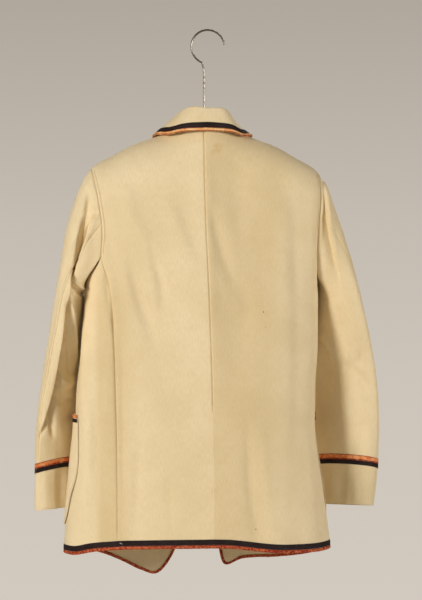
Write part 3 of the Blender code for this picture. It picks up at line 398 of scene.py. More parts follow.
# Creases of the fronts, and of the sleeves' sides that face forward, at their x and drop.
FRONT_CREASES = (
    (((-150, 300), (-132, 380), (-118, 470)), 9, 1.1, SOFT),
    (((-168, 470), (-150, 560), (-140, 660)), 10, -1.0, SOFT),
    (((-96, 520), (-88, 620), (-92, 720)), 10, 1.0, SOFT),
    (((-70, 760), (-74, 830), (-78, 900)), 8, -1.3, SOFT),
    (((-120, 880), (-116, 900), (-118, 918)), 9, 0.8, SOFT),
    (((138, 300), (120, 380), (108, 470)), 9, 1.1, SOFT),
    (((156, 480), (140, 560), (132, 660)), 10, -1.0, SOFT),
    (((80, 520), (72, 620), (78, 720)), 10, 1.0, SOFT),
    (((64, 760), (66, 830), (70, 900)), 8, -1.3, SOFT),
    (((-256, 560), (-240, 600), (-226, 590)), 8, -2.2, SOFT),
    (((-270, 620), (-250, 640), (-232, 632)), 9, 2.0, SOFT),
    (((-262, 480), (-256, 520), (-258, 560)), 10, 1.7, SOFT),
    (((262, 560), (244, 598), (224, 590)), 8, -2.2, SOFT),
    (((278, 620), (252, 640), (230, 632)), 9, 2.0, SOFT),
    (((262, 470), (258, 516), (262, 556)), 10, 1.7, SOFT),
)

# How folds and creases fade towards their ends, and how finely a crease's line is followed.
FOLD_FADE = 0.8
CREASE_FADE = 0.6
CREASE_ENDS = (0.002, 0.998)
CREASE_PARTS = 8
# A step crease: how wide its slope is, then the height and reach of its high and its low side,
# as shares of its half width.
STEP_SLOPE = 0.7
STEP_HIGH = (0.7, 1.9)
STEP_LOW = (0.9, 2.6)
# How much of the back's creases is left where the cloth looks sideways, and how fast those of
# the back and of the fronts fade as it turns away from there.
REAR_SHARE = 0.3
REAR_FADE = 2.2
FORE_FADE = 1.6
# How many rows or columns creases take to grow from a seam on the body, and folds on a sleeve.
BODY_GROWTH = 0.8
SLEEVE_GROWTH = 1.2

# How far a piece's face sinks at its edges, at most what share of its thickness, over what
# distance and how fast; then how far and over what distance at a line of stitches.
EDGE_DIP = 0.8
EDGE_SHARE = 0.42
EDGE_REACH = 1.5
EDGE_CURVE = 1.5
STITCH_DIP = 0.95
STITCH_REACH = 1.15
# How far the whole wall turns in at a sewn seam, and over what distance.
SEAM_DIP = 1.5
SEAM_REACH = 1.5
# Kinds of stitches: distance between two, length, radius, and how deep they lie in the cloth.
SEAM_THREAD = (2.9, 2.0, 0.24, 0.3)
BUTTON_THREAD = (2.5, 4.4, 0.42, 0.1)
BUTTONHOLE_THREAD = (0.85, 1.0, 0.36, 0.2)
LINT_THREAD = (1.6, 1.9, 0.4, -1.2)
# How far lines of stitches lie from the armhole, the sleeve's hind seam and the pocket's edge.
ARMHOLE_STITCH = 5.0
HIND_STITCH = 4.0
POCKET_STITCH = 2.2
# Where the armhole's line of stitches starts, and which rows the hind seam's line runs along.
STITCHED_FROM = 4
HIND_STITCHED = slice(2, -12)
# Edges that turn more than this many degrees are sharp.
SHARP_ANGLE = 62
# The centre-back seam lies closed below this drop: over what drop and how far from it, and the
# share of the edge roll that goes. On the right sleeve's pressed seams a share of it is left.
SEAM_CLOSED = 662.0
CLOSED_SPAN = 6
CLOSED_REACH = 4
CLOSED_SHARE = 0.97
PRESSED = 0.3
# How many parts the back's cells beside its seams have, so that the stitch lines show.
STITCH_PARTS = 14
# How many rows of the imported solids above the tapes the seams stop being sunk.
ABOVE_TAPE = 0.3
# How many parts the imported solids' rows have in the shells: on the body, and on the back below
# the armholes.
ROW_PARTS = 6
BACK_PARTS = 7
# Finer places: beside the first and last entry of a grid, below the shoulder, among the last
# rows of the back and the collar, beside a front's corner, at a sleeve's top, and beside its
# seams and end.
CLOSE_PLACES = np.array([0.04, 0.09, 0.16])
SHOULDER_PLACES = (0, 0.06, 0.15, 0.3, 0.5, 0.75)
LAST_PLACES = np.array([2.5, 2, 1.5, 1])
CORNER_PLACES = np.array([0.05, 0.12])
HEAD_PLACES = (0, 0.05, 0.13, 0.25)
CLOSE_ON_SLEEVE = np.array([0.04, 0.1])
# How many rows of a sleeve there are from the top of its tapes on, and how many parts the
# fronts' cells beside the side seam have.
CUFF_ROWS = 5
SIDE_PARTS = {LEFT: 5, RIGHT: 4}
# Millimetres of flat cloth: for a degree of turn on the body, for a degree and a row of a
# sleeve, for a column and a row of the collar and of a lapel, and a pocket's width and height.
FLAT_TURN = 3.6
FLAT_SLEEVE = (1.15, 28)
FLAT_COLLAR = (14.0, 5)
FLAT_LAPEL = (14.0, 32)
FLAT_POCKET = (200, 194)
# The collar's columns, its rows as shares of the stand, of the fold's round and of the fall, and
# how much of the creases it keeps.
COLLAR_COLUMNS = np.linspace(-1, 1, 25)
STAND_ROWS = (0, 0.5)
FOLD_ROWS = np.linspace(0, 1, 6)
LEAF_ROWS = (0.33, 0.67)
COLLAR_RELIEF = 0.6
# Rows and columns of a lapel, and of a pocket below its tapes.
LAPEL_ROWS = np.array([0, 0.06, 0.14, 0.26, 0.4, 0.54, 0.68, 0.82, 1.0])
LAPEL_COLUMNS = np.array([0, 0.33, 0.67, 1])
POCKET_COLUMNS = (0, 0.03, 0.09, 0.18, 0.3, 0.43, 0.57, 0.7, 0.82, 0.91, 0.97, 1)
POCKET_ROWS = (0.2, 0.35, 0.5, 0.64, 0.76, 0.86, 0.94, 1)

# How far from the edge the tapes' rows lie on the hem, and as shares of a row elsewhere.
EDGE_TAPE_ROWS = {
    "black": (14.3, 13.8, 12.0, 9.2, 6.4, 5.4, 5.0),
    "orange": (4.7, 4.3, 3.4, 2.3, 1.2, 0.1),
}
COLLAR_TAPE_ROWS = {
    "black": (0.03, 0.1, 0.35, 0.65, 0.9, 1.18, 1.24),
    "orange": (1.27, 1.32, 1.45, 1.62, 1.82, 1.98),
}
LAPEL_TAPE_ROWS = np.array([0.04, 0.12, 0.4, 0.7, 0.9, 0.97])
CUFF_TAPE_ROWS = np.array([0.02, 0.25, 0.5, 0.75, 0.98])
POCKET_TAPE_ROWS = {"orange": (0.05, 0.2, 0.5, 0.8, 0.93), "black": (1.05, 1.2, 1.5, 1.8, 1.95)}
# A tape that wraps round an edge: how far out it goes, and where it starts and ends inside.
WRAP_OUT = 0.25
WRAP_FROM = 0.6
WRAP_REACH = 4.5

# A button's section: share of its radius, height. Then its sides, the buttons' names, and where
# the four holes are, how wide and how deep.
BUTTON_PROFILE = (
    (0.0, -1.5), (0.86, -1.5), (0.97, -1.1), (1.0, -0.3), (0.985, 0.7), (0.93, 1.45), (0.84, 1.7),
    (0.74, 1.5), (0.66, 0.95), (0.5, 0.7), (0.0, 0.65),
)
BUTTON_SIDES = 48
BUTTON_WORDS = ("top", "middle", "bottom")
HOLE_ACROSS = 1.5
HOLE_ALONG = 1.6
HOLE_RADIUS = 0.85
HOLE_DEPTH = 8
# How far its thread reaches from its middle, and how high that lies.
SEWN_REACH = 2.6
SEWN_LEVEL = 0.95
# A stitch: place along it and share of its radius, how far its ends bend down, its thinnest share.
STITCH_STATIONS = ((-0.5, 0.0), (-0.38, 0.8), (0.0, 1.0), (0.38, 0.8), (0.5, 0.0))
STITCH_SIDES = 6
STITCH_BEND = 1.2
STITCH_TIP = 0.15
# Where the buttonholes start and end, in from the front edge, the points along one, and half
# its width.
BUTTONHOLE_REACH = (16, 37)
BUTTONHOLE_POINTS = 22
BUTTONHOLE_HALF = 0.75
# The scrap of lint: x and drop of its middle, and its bends.
LINT_X = -167.6
LINT_DROP = 888.5
LINT_BENDS = ((-3.4, 0, 0.2), (-1.2, 0, 0.9), (0.9, 0, -0.4), (3.2, 0, 0.3))

# Slow unevenness of hanging cloth: seed, number of waves, shortest and longest, height of one
# that is as long as the span, and how much the waves run along each axis.
RIPPLE_SEED = 7
RIPPLES = 18
RIPPLE_LENGTH = (26.0, 120.0)
RIPPLE_HEIGHT = 0.085
RIPPLE_SPAN = 60
RIPPLE_WAY = (1, 0.4, 0.55)

# Pucker of a sewn tape: height and length of its fine wave, of that wave's drift, and of its
# slow wave; then how far the whole tape stands up.
PUCKER_FINE = (0.09, 2.3)
PUCKER_DRIFT = (0.7, 7.1)
PUCKER_SLOW = (0.07, 5.7)
TAPE_RISE = 0.1

# Camera: direction, distance, the point it looks at and its lens.
CAMERA_AZIMUTH = -10.0
CAMERA_DISTANCE = 4.0
CAMERA_CENTRE = (0.0052, -0.0009, -0.4734)
CAMERA_LENS = 136.4
CAMERA_SENSOR = 36.0
# The floor's height and radius.
FLOOR_LEVEL = -1.32
FLOOR_SIZE = 2.1
# Lamps: place, size, power, colour. They aim at the middle of the blazer.
LAMP_AIM = (0.0, 0.0, -0.45)
LAMPS = {
    "key": ((-3.2, -2.6, 0.3), 1.1, 134, (1.0, 0.966, 0.91)),
    "fill": ((3.4, -2.25, 0.0), 1.2, 75, (1.0, 0.97, 0.935)),
    "rear": ((0.9, 3.3, 1.0), 2.0, 60, (1.0, 0.98, 0.95)),
}
# How strong the surround is as a light, how far its colours reach below and above the level,
# and the colours from below to above.
SURROUND_LIGHT = 0.36
SURROUND_TILT = 0.14
SURROUND = ((0.0, (210, 202, 191)), (0.35, (205, 197, 186)), (0.62, (196, 188, 177)), (1.0, (174, 165, 154)))

# Marks on the back: x, drop, inner and outer radius. Then the dark specks: x, drop, size.
STAIN = (8.0, 208.7, 1.0, 13.0)
FAINT_STAIN = (-1.0, 216.5, 1.0, 8.0)
FAINT_STRENGTH = 0.25
SPECKS = ((82.7, 494.2, 1.5), (86.2, 520.2, 0.9), (65.2, 867.9, 1.4))

# Painted shade, in metres: darker colour on the back's right half where it turns from the light, and a
# painted shadow of the left sleeve beside the left side seam. On the right: how its edge leans, where it
# fades out, its strength. On the left: where it starts and ends across, fades out upwards and forwards,
# its strength.
PAINTED_SHADE_RIGHT_SLOPE = 0.057
PAINTED_SHADE_RIGHT_FADE = (0.115, 0.165)
PAINTED_SHADE_RIGHT = 0.22
PAINTED_SHADOW_LEFT_START = (-0.211, -0.198)
PAINTED_SHADOW_LEFT_END = (-0.176, -0.132)
PAINTED_SHADOW_LEFT_TOP = (-0.50, -0.41)
PAINTED_SHADOW_LEFT_FRONT = (-0.005, 0.01)
PAINTED_SHADOW_LEFT = 0.29

# How fine the flannel's weave and the braid's ribs are.
WEAVE_SCALE = 150.0
RIB_SCALE = 260.0
# Screen colours, from 0 to 255.
CREAM = (233, 214, 175)
CREAM_AGED = (226, 206, 164)
CREAM_MOTTLE = (222, 199, 154)
CREAM_FLECK = (206, 181, 134)
CREAM_SHADE = (208, 184, 138)
CREAM_LIGHT = (246, 230, 196)
STAIN_BROWN = (206, 160, 84)
SPECK_BROWN = (88, 62, 40)
# Colour of the painted shade and painted shadow on the body's cloth.
PAINTED_SHADE_COLOUR = (184, 153, 84)
CREAM_THREAD = (214, 190, 142)
LINT_WHITE = (238, 234, 224)
DEEP_RED = (132, 26, 16)
HORN_BROWNS = ((92, 62, 40), (150, 112, 76), (58, 38, 26))
BEECH_BROWNS = ((176, 128, 78), (140, 94, 52), (92, 58, 32))
STEEL_GREYS = ((122, 117, 109), (100, 92, 80))
FLOOR_GREYS = ((214, 208, 199), (220, 214, 205))
# Braid: its name, colour, worn colour and fleck, the flecks' share, its roughness, how fine its
# tones are, its edge lines (distance from its edge, half width), and their colour.
BRAID = {
    "black": ("black_braid", (13, 11, 13), (30, 26, 28), (84, 50, 40), 0.2, 0.7, 38.0, (), DEEP_RED),
    "orange": ("orange_braid", (214, 116, 60), (240, 170, 112), (130, 28, 16), 0.9, 0.7, 120.0,
               ((0.4, 0.9), (CUFF_ORANGE_WIDTH - 1.3, 1.5)), DEEP_RED),
    # The hem's copy of the orange braid is darker and redder: painted shade of the hem's edge.
    "worn": ("orange_braid_painted_shade", (140, 40, 22), (214, 118, 72), (70, 14, 10), 1.0, 0.75, 260.0,
             ((0.4, 1.0),), DEEP_RED),
    "pale": ("orange_braid_pale", (236, 170, 106), (250, 208, 146), (196, 90, 44), 0.7, 0.7, 70.0,
             ((0.3, 0.8), (ORANGE_WIDTH - 1.7, 0.8)), (150, 52, 26)),
}


def curve(t, first, last, first_slope, last_slope, width=1.0):
    """The value at a share of the way between two values, with the slope that it has at each."""
    start = (2 * t**3 - 3 * t**2 + 1) * first + (t**3 - 2 * t**2 + t) * width * first_slope
    end = (3 * t**2 - 2 * t**3) * last + (t**3 - t**2) * width * last_slope
    return start + end


def smooth_line(table, at, column=1):
    """The value of a table's column at each place, on a smooth line through its rows."""
    rows = np.asarray(table, float)
    place, value = rows[:, 0], rows[:, column]
    slope = np.gradient(value, place)
    at = np.clip(at, place[0], place[-1])
    row = np.clip(np.searchsorted(place, at, side="right") - 1, 0, len(place) - 2)
    width = place[row + 1] - place[row]
    t = (at - place[row]) / width
    return curve(t, value[row], value[row + 1], slope[row], slope[row + 1], width)


def smooth_path(points, shares):
    """Places at shares of the length of a smooth line through points."""
    points = np.asarray(points, float)
    length = run_of(steps_of(points))
    table = np.column_stack([length / length[-1], points])
    return np.stack([smooth_line(table, shares, k + 1) for k in range(points.shape[1])], axis=-1)


def boxed(value):
    """A circle's sine or cosine, pushed out towards a box."""
    return value + BOXY * (value - value**3)


def unboxed(value):
    """The sine that boxed() turns into this value."""
    sine = np.clip(value, -1, 1)
    for _ in range(ROUNDS):
        sine = sine - (boxed(sine) - value) / (1 + BOXY - 3 * BOXY * sine**2)
    return np.clip(sine, -1, 1)


def turn_on_back(x, drop):
    """The turn of a point on the back that has this x."""
    middle = smooth_line(TORSO, drop, 1)
    half = smooth_line(TORSO, drop, 2)
    return np.degrees(np.arcsin(unboxed(np.clip((x - middle) / half, -1, 1))))


def turn_on_front(x, drop):
    """The turn of a point on the fronts that has this x."""
    back = turn_on_back(x, drop)
    return np.where(back < 0, -180 - back, 180 - back)


def shoulder_drop(x):
    """How far down the shoulder line is at an x."""
    return smooth_line(SHOULDER_LINE, np.abs(x - NECK_X))


def fold_height(turn, drop):
    """How far the folds push the cloth out."""
    height = np.zeros(np.broadcast(turn, drop).shape)
    for t1, d1, t2, d2, t3, d3, width, depth in FOLDS:
        line = np.interp(drop, (d1, d2, d3), (t1, t2, t3))
        share = np.clip((drop - d1) / (d3 - d1), 0, 1)
        fade = np.sin(np.pi / 2 * share) if d3 > FOLD_TO_HEM else np.sin(np.pi * share) ** FOLD_FADE
        height = height + depth * fade * np.exp(-(((turn - line) / width) ** 2))
    return height


def torso_point(turn, drop):
    """A point of the body's outer face."""
    turn, drop = np.broadcast_arrays(np.asarray(turn, float), np.asarray(drop, float))
    middle, half, back, front = (smooth_line(TORSO, drop, k) for k in (1, 2, 3, 4))
    angle = np.radians(turn)
    along = boxed(np.cos(angle))
    x = middle + half * boxed(np.sin(angle))
    y = -(back + front) / 2 * along - (back - front) / 2 * along**2
    below = np.clip((drop - shoulder_drop(x)) / SHOULDER_ROUND, 0, 1)
    rise = np.sqrt(np.clip(1 - (1 - below) ** 2, 0, 1))
    out_x = np.sin(angle) * (back + front) / 2
    out_y = -np.cos(angle) * half
    size = np.hypot(out_x, out_y)
    push = fold_height(turn, drop) * rise
    return np.stack([x + push * out_x / size, y * rise + push * out_y / size, -drop], axis=-1)


def torso_normal(turn, drop):
    """The direction that the body's outer face looks in."""
    turn, drop = np.broadcast_arrays(np.asarray(turn, float), np.asarray(drop, float))
    side = torso_point(turn + TURN_STEP, drop) - torso_point(turn - TURN_STEP, drop)
    down = torso_point(turn, drop + DROP_STEP) - torso_point(turn, drop - DROP_STEP)
    x = torso_point(turn, drop)[..., 0]
    slope = (shoulder_drop(x + 1) - shoulder_drop(x - 1)) / 2
    ridge = np.stack([slope, np.zeros_like(slope), np.ones_like(slope)], axis=-1)
    on_ridge = (drop - shoulder_drop(x) < RIDGE_REACH)[..., None]
    return unit(np.where(on_ridge, ridge, np.cross(down, side)))


def torso_face(spots):
    """Points of the body's outer face, and their normals, at turns and drops."""
    return torso_point(spots[..., 0], spots[..., 1]), torso_normal(spots[..., 0], spots[..., 1])


def torso_flat(spots):
    """Where turns and drops lie on the flat cloth."""
    return np.stack([spots[..., 0] * FLAT_TURN, -spots[..., 1]], axis=-1)


def unit(vectors):
    """Vectors of the same directions, one unit long."""
    return vectors / np.linalg.norm(vectors, axis=-1, keepdims=True)


def between(values, places):
    """Values at places between the first axis's entries, on a smooth line through them."""
    values = np.asarray(values, float)
    places = np.asarray(places, float)
    slope = np.gradient(values, axis=0)
    row = np.clip(np.floor(places).astype(int), 0, len(values) - 2)
    t = (places - row).reshape(-1, *[1] * (values.ndim - 1))
    return curve(t, values[row], values[row + 1], slope[row], slope[row + 1])


def finer(grid, rows, columns):
    """A grid's values at places between its rows and columns."""
    across = between(np.swapaxes(between(grid, rows), 0, 1), columns)
    return np.swapaxes(across, 0, 1)


def places(count, parts, fine_start=True, fine_end=True):
    """Places between count entries, closer together beside the first and last one."""
    plain = np.linspace(0, count - 1, (count - 1) * parts + 1)
    extra = []
    if fine_start:
        extra.append(CLOSE_PLACES)
    if fine_end:
        extra.append(count - 1 - CLOSE_PLACES)
    return np.unique(np.round(np.concatenate([plain, *extra]), 5))


class Cloth:
    """Points of a piece's outer face, their normals, places on the flat cloth, and cells."""

    def __init__(self):
        self.points = np.zeros((0, 3))
        self.normals = np.zeros((0, 3))
        self.flat = np.zeros((0, 2))
        self.cells = []

    def add(self, points, normals, flat):
        """Adds points and returns their numbers, in the same arrangement."""
        start = len(self.points)
        shape = points.shape[:-1]
        self.points = np.vstack([self.points, points.reshape(-1, 3)])
        self.normals = np.vstack([self.normals, normals.reshape(-1, 3)])
        self.flat = np.vstack([self.flat, flat.reshape(-1, 2)])
        return np.arange(start, start + int(np.prod(shape))).reshape(shape)

    def fill(self, numbers):
        """Adds a cell between each four neighbours of a grid of numbers."""
        for a, b in zip(numbers[:-1], numbers[1:]):
            for k in range(len(a) - 1):
                self.cells.append((a[k], a[k + 1], b[k + 1], b[k]))


def one_grid(points, normals, flat):
    """A piece whose outer face is a single grid of points."""
    cloth = Cloth()
    cloth.fill(cloth.add(points, normals, flat))
    return cloth


def scaled(across, down, scale):
    """Places on the flat cloth for columns and rows, at so many millimetres for each."""
    return np.stack(np.broadcast_arrays(across * scale[0], -down[:, None] * scale[1]), axis=-1)


def steps_of(line):
    """The length of each step of a line."""
    return np.linalg.norm(np.diff(line, axis=0), axis=1)


def run_of(steps):
    """How far along each place is, from the lengths of the steps between them."""
    return np.concatenate([[0], np.cumsum(steps)])


def shares_of(one, other):
    """How far along two lines of as many points each place is, as shares of the whole."""
    steps = steps_of(one) + steps_of(other)
    return np.concatenate([[0], np.cumsum(steps) / steps.sum()])


def patch(top, bottom, start, end):
    """Places inside four edges: top and bottom run from start to end."""
    down = shares_of(start, end)[:, None, None]
    across = shares_of(top, bottom)[None, :, None]
    edges = (1 - down) * top[None] + down * bottom[None]
    sides = (1 - across) * start[:, None] + across * end[:, None]
    corners = (1 - down) * ((1 - across) * top[0] + across * top[-1])
    corners = corners + down * ((1 - across) * bottom[0] + across * bottom[-1])
    return edges + sides - corners


def on_shoulder(turns):
    """Places on the shoulder line, or on the neck's edge inside it."""
    drop = np.full(len(turns), SHOULDER_GUESS)
    for _ in range(ROUNDS):
        x = torso_point(turns, drop)[..., 0]
        drop = np.maximum(shoulder_drop(x), NECK_DROP)
    return np.column_stack([turns, drop])


def side_seam(side):
    """x and drop down the back of the armhole and the side seam, to above the hem's tapes."""
    arm = smooth_path([(abs(x), d) for d, x in ARMHOLE_BACK[side]], ARM_ROWS)
    fine = smooth_path([(abs(x), d) for d, x in SIDE_SEAM[side]], np.linspace(0, 1, 200))
    hem_turn = abs(float(turn_on_back(fine[-1, 0] * side, fine[-1, 1])))
    hem_drop = float(smooth_line(HEM[side], hem_turn))
    drops = fine[0, 1] + (hem_drop - ORANGE_WIDTH - BLACK_WIDTH - fine[0, 1]) * LOW_ROWS
    drops = np.concatenate([drops, [hem_drop - ORANGE_WIDTH, hem_drop]])
    seam = np.column_stack([np.interp(drops, fine[:, 1], fine[:, 0]), drops])
    return arm * [side, 1], seam * [side, 1]


def top_on_shoulder(grid, rows):
    """Moves a fine grid's first rows, so that its first row lies on the shoulder line itself."""
    shift = on_shoulder(grid[0, :, 0])[:, 1] - grid[0, :, 1]
    grid[..., 1] += shift * np.clip(1 - rows, 0, 1)[:, None]
    return grid


def back_places(side):
    """Turns and drops of half of the back, with those of its hem strip in the last three rows."""
    gap = SEAM_GAP / 2
    arm, seam = side_seam(side)
    outer = np.concatenate([arm, seam[1:]])
    outer[:, 0] = turn_on_back(outer[:, 0] - side * gap, outer[:, 1])
    hem_drop = smooth_line(HEM[side], 0.0)
    above_tapes = hem_drop - ORANGE_WIDTH - BLACK_WIDTH
    share = (outer[:-2, 1] - outer[0, 1]) / (outer[-3, 1] - outer[0, 1])
    centre_drop = NECK_DROP + (above_tapes - NECK_DROP) * share
    centre_drop = np.concatenate([centre_drop, [hem_drop - ORANGE_WIDTH, hem_drop]])
    centre_x = smooth_line(CENTRE_SEAM, centre_drop) + side * gap
    centre = np.column_stack([turn_on_back(centre_x, centre_drop), centre_drop])
    top = on_shoulder(centre[0, 0] + (outer[0, 0] - centre[0, 0]) * BACK_COLUMNS)
    outer[0] = top[-1]
    strips = []
    for row, above in ((-3, ORANGE_WIDTH + BLACK_WIDTH), (-2, ORANGE_WIDTH), (-1, 0)):
        turns = centre[row, 0] + (outer[row, 0] - centre[row, 0]) * BACK_COLUMNS
        strips.append(np.column_stack([turns, smooth_line(HEM[side], np.abs(turns)) - above]))
        strips[-1][0], strips[-1][-1] = centre[row], outer[row]
    grid = patch(top, strips[0], centre[:-2], outer[:-2])
    return np.concatenate([grid, strips[1][None], strips[2][None]])


def edge_outline(side, hem_turns):
    """The hem and the front edge of one front as two lines of turns and drops."""
    hem_turns = np.asarray(hem_turns)
    hem = np.column_stack([side * hem_turns, smooth_line(HEM[side], hem_turns)])
    edge = smooth_path(FRONT_EDGE[side], LOW_ROWS)
    edge = np.column_stack([turn_on_front(edge[:, 0], edge[:, 1]), edge[:, 1]])
    return hem, edge


def moved_in(line, distance, side):
    """A line on the body, moved towards the middle of the front panel."""
    points, normals = torso_face(line)
    inward = unit(np.cross(normals, np.gradient(points, axis=0)) * side)
    step = 0.5
    turn_step = torso_point(line[:, 0] + step, line[:, 1]) - points
    size = np.linalg.norm(turn_step, axis=1)
    across = (inward * turn_step).sum(axis=1) / size**2 * step
    return line + distance * np.column_stack([across, -inward[:, 2]])


def front_places(side):
    """Turns and drops of one front: beside the side seam, in front of that, and of its edge."""
    side_columns = SIDE_COLUMNS[side]
    seam = side_seam(side)[1]
    seam[:, 0] = turn_on_back(seam[:, 0] + side * SEAM_GAP / 2, seam[:, 1])
    line = smooth_path(FRONT_LINE, LOW_ROWS) * [side, 1]
    under = smooth_path(UNDERARM[side], side_columns) * [side, 1]
    under[0] = seam[0]
    under[-1] = line[0]
    arm = smooth_path(ARMHOLE_FRONT[side], 1 - ARM_ROWS)
    arm[:, 0] = turn_on_front(arm[:, 0], arm[:, 1])
    arm[-1] = line[0]
    start_turn, line_turn = abs(seam[-1, 0]), abs(line[-1, 0])
    corner_turn = HEM[side][-1][0]
    turns_side = start_turn + (line_turn - start_turn) * side_columns
    turns_front = line_turn + (corner_turn - line_turn) * FRONT_COLUMNS
    hem, edge = edge_outline(side, np.concatenate([turns_side, turns_front[1:]]))
    outline = np.concatenate([hem, edge[1:]])
    inner = moved_in(outline, ORANGE_WIDTH + BLACK_WIDTH, side)
    middle = moved_in(outline, ORANGE_WIDTH, side)
    inner[0], middle[0], outline[0] = seam[-3:]
    count = len(turns_side)
    line_low = line.copy()
    line_low[:, 1] = line[0, 1] + (line[:, 1] - line[0, 1]) * (
        (inner[count - 1, 1] - line[0, 1]) / (line[-1, 1] - line[0, 1]))
    line_low[-1] = inner[count - 1]
    side_grid = patch(under, inner[:count], seam[:-2], line_low)
    roll = np.array([(NECK_X + side * x, d) for x, d in ROLL_LINE])
    roll_turn = turn_on_front(roll[:, 0], roll[:, 1])
    neck_turn = turn_on_front(NECK_X + side * NECK_SIDE, NECK_DROP + 3)
    top = on_shoulder(arm[0, 0] + (neck_turn - arm[0, 0]) * FRONT_COLUMNS)
    arm[0] = top[0]
    upper_line = np.concatenate([[inner[-1]], np.column_stack([roll_turn, roll[:, 1]]), [top[-1]]])
    upper = smooth_path(upper_line, 1 - ARM_ROWS)
    upper[-1], upper[0] = inner[-1], top[-1]
    low_edge = inner[len(hem) - 1:][::-1]
    end = np.concatenate([upper, low_edge[1:]])
    start = np.concatenate([arm, line_low[1:]])
    front_grid = patch(top, inner[count - 1:len(hem)], start, end)
    return side_grid, front_grid, np.stack([inner, middle, outline]), count, len(hem), len(edge)


def sleeve_ring(side, angle, drop):
    """A point of the sleeve's section at a drop."""
    x, y, thick, deep, lean = (smooth_line(SLEEVE[side], drop, k) for k in (1, 2, 3, 4, 5))
    lean = np.radians(lean)
    angle = np.radians(angle)
    out, rear = thick * np.cos(angle), deep * np.sin(angle)
    px = side * (x + out * np.cos(lean) + rear * np.sin(lean))
    py = y + out * np.sin(lean) - rear * np.cos(lean)
    tilt = smooth_line(SLEEVE_TILT, drop) * np.cos(angle)
    return np.stack([px, py, -(drop + tilt)], axis=-1)


def sleeve_fold(angle, drop):
    """How far the folds push a sleeve's cloth out."""
    height = np.zeros(np.broadcast(angle, drop).shape)
    for a1, d1, a2, d2, width, depth in SLEEVE_FOLDS:
        line = np.interp(drop, (d1, d2), (a1, a2))
        if abs(a2 - a1) > FOLD_ACROSS:
            across = np.clip((angle - min(a1, a2)) / abs(a2 - a1), 0, 1)
            level = d1 + (d2 - d1) * (across if a2 > a1 else 1 - across)
            fade = np.sin(np.pi * across) ** FOLD_FADE
            height = height + depth * fade * np.exp(-(((drop - level) / width) ** 2))
        else:
            share = np.clip((drop - d1) / (d2 - d1), 0, 1)
            height = height + depth * np.sin(np.pi * share) * np.exp(-(((angle - line) / width) ** 2))
    return height


def smooth_step(value):
    """Goes softly from 0 to 1 as the value does."""
    value = np.clip(value, 0, 1)
    return value * value * (3 - 2 * value)


def sleeve_start(side, loop, loop_normals, sleeve_normals):
    """The sleeve's first ring, just off the armhole, and the normals there."""
    run = np.roll(loop, -1, axis=0) - np.roll(loop, 1, axis=0)
    away = unit(np.cross(run, loop_normals))
    away = away * np.sign(away[0, 0] * side)
    alike = (sleeve_normals * loop_normals).sum(axis=1, keepdims=True)
    carries = smooth_step(alike / ALIKE)
    shift = unit(away * carries + loop_normals * (1 - carries))
    normals = unit(sleeve_normals * (1 - carries) + loop_normals * carries)
    return loop + shift * (SEAM_GAP + START_GAP), normals


def sleeve_grid(side, first, loop_angles, head, rows):
    """Points of a sleeve: rows run from the armhole to the cuff, columns round it."""
    slope = np.array([side * SLEEVE_SLOPE[0], 0.0, SLEEVE_SLOPE[1]])
    ring = sleeve_ring(side, loop_angles, np.full(len(first), HEAD_DROP))
    below = sleeve_ring(side, loop_angles, np.full(len(first), HEAD_DROP + 2))
    down = unit(below - ring)
    chord = np.linalg.norm(ring - first, axis=1, keepdims=True)
    out = unit(slope + CHORD_WEIGHT * (ring - first) / chord)
    upper = curve(head[:, None, None], first, ring, out, down, chord)
    lower = sleeve_ring(side, *np.meshgrid(loop_angles, rows))
    return np.concatenate([upper, lower])


def mean_run(grid, axis, closed=False):
    """The direction of the lines along an axis of a grid, at each point."""
    step = np.diff(grid, axis=axis, append=np.take(grid, [0], axis=axis))
    step = step / np.maximum(np.linalg.norm(step, axis=-1, keepdims=True), 1e-9)
    before = np.roll(step, 1, axis=axis)
    if not closed:
        first, last = [slice(None)] * 3, [slice(None)] * 3
        first[axis], last[axis] = slice(0, 1), slice(-1, None)
        before[tuple(first)] = step[tuple(first)]
        step[tuple(last)] = before[tuple(last)]
    return step + before


def grid_normals(grid, closed=True):
    """Normals of a grid; those of closed rings look out of them."""
    normal = unit(np.cross(mean_run(grid, 0), mean_run(grid, 1, closed)))
    if closed and ((grid - grid.mean(axis=1, keepdims=True)) * normal).sum() < 0:
        normal = -normal
    return normal


def collar_frame(fold, columns):
    """Directions at the collar's fold: along it, down from it and away from the neck."""
    run = unit(np.gradient(fold, columns, axis=0))
    down = unit(np.array([0, 0, -1]) + run * run[:, 2:])
    away = np.cross(down, run)
    return run, down, away * -np.sign(away[len(away) // 2, 1])


def collar_touch(flat, turn):
    """The angle at which a straight line from a point meets the round of the fold."""
    distance = np.hypot(flat[:, 0], flat[:, 1])
    return np.arctan2(flat[:, 1], flat[:, 0]) + turn * np.arccos(FOLD_ROUND / distance)


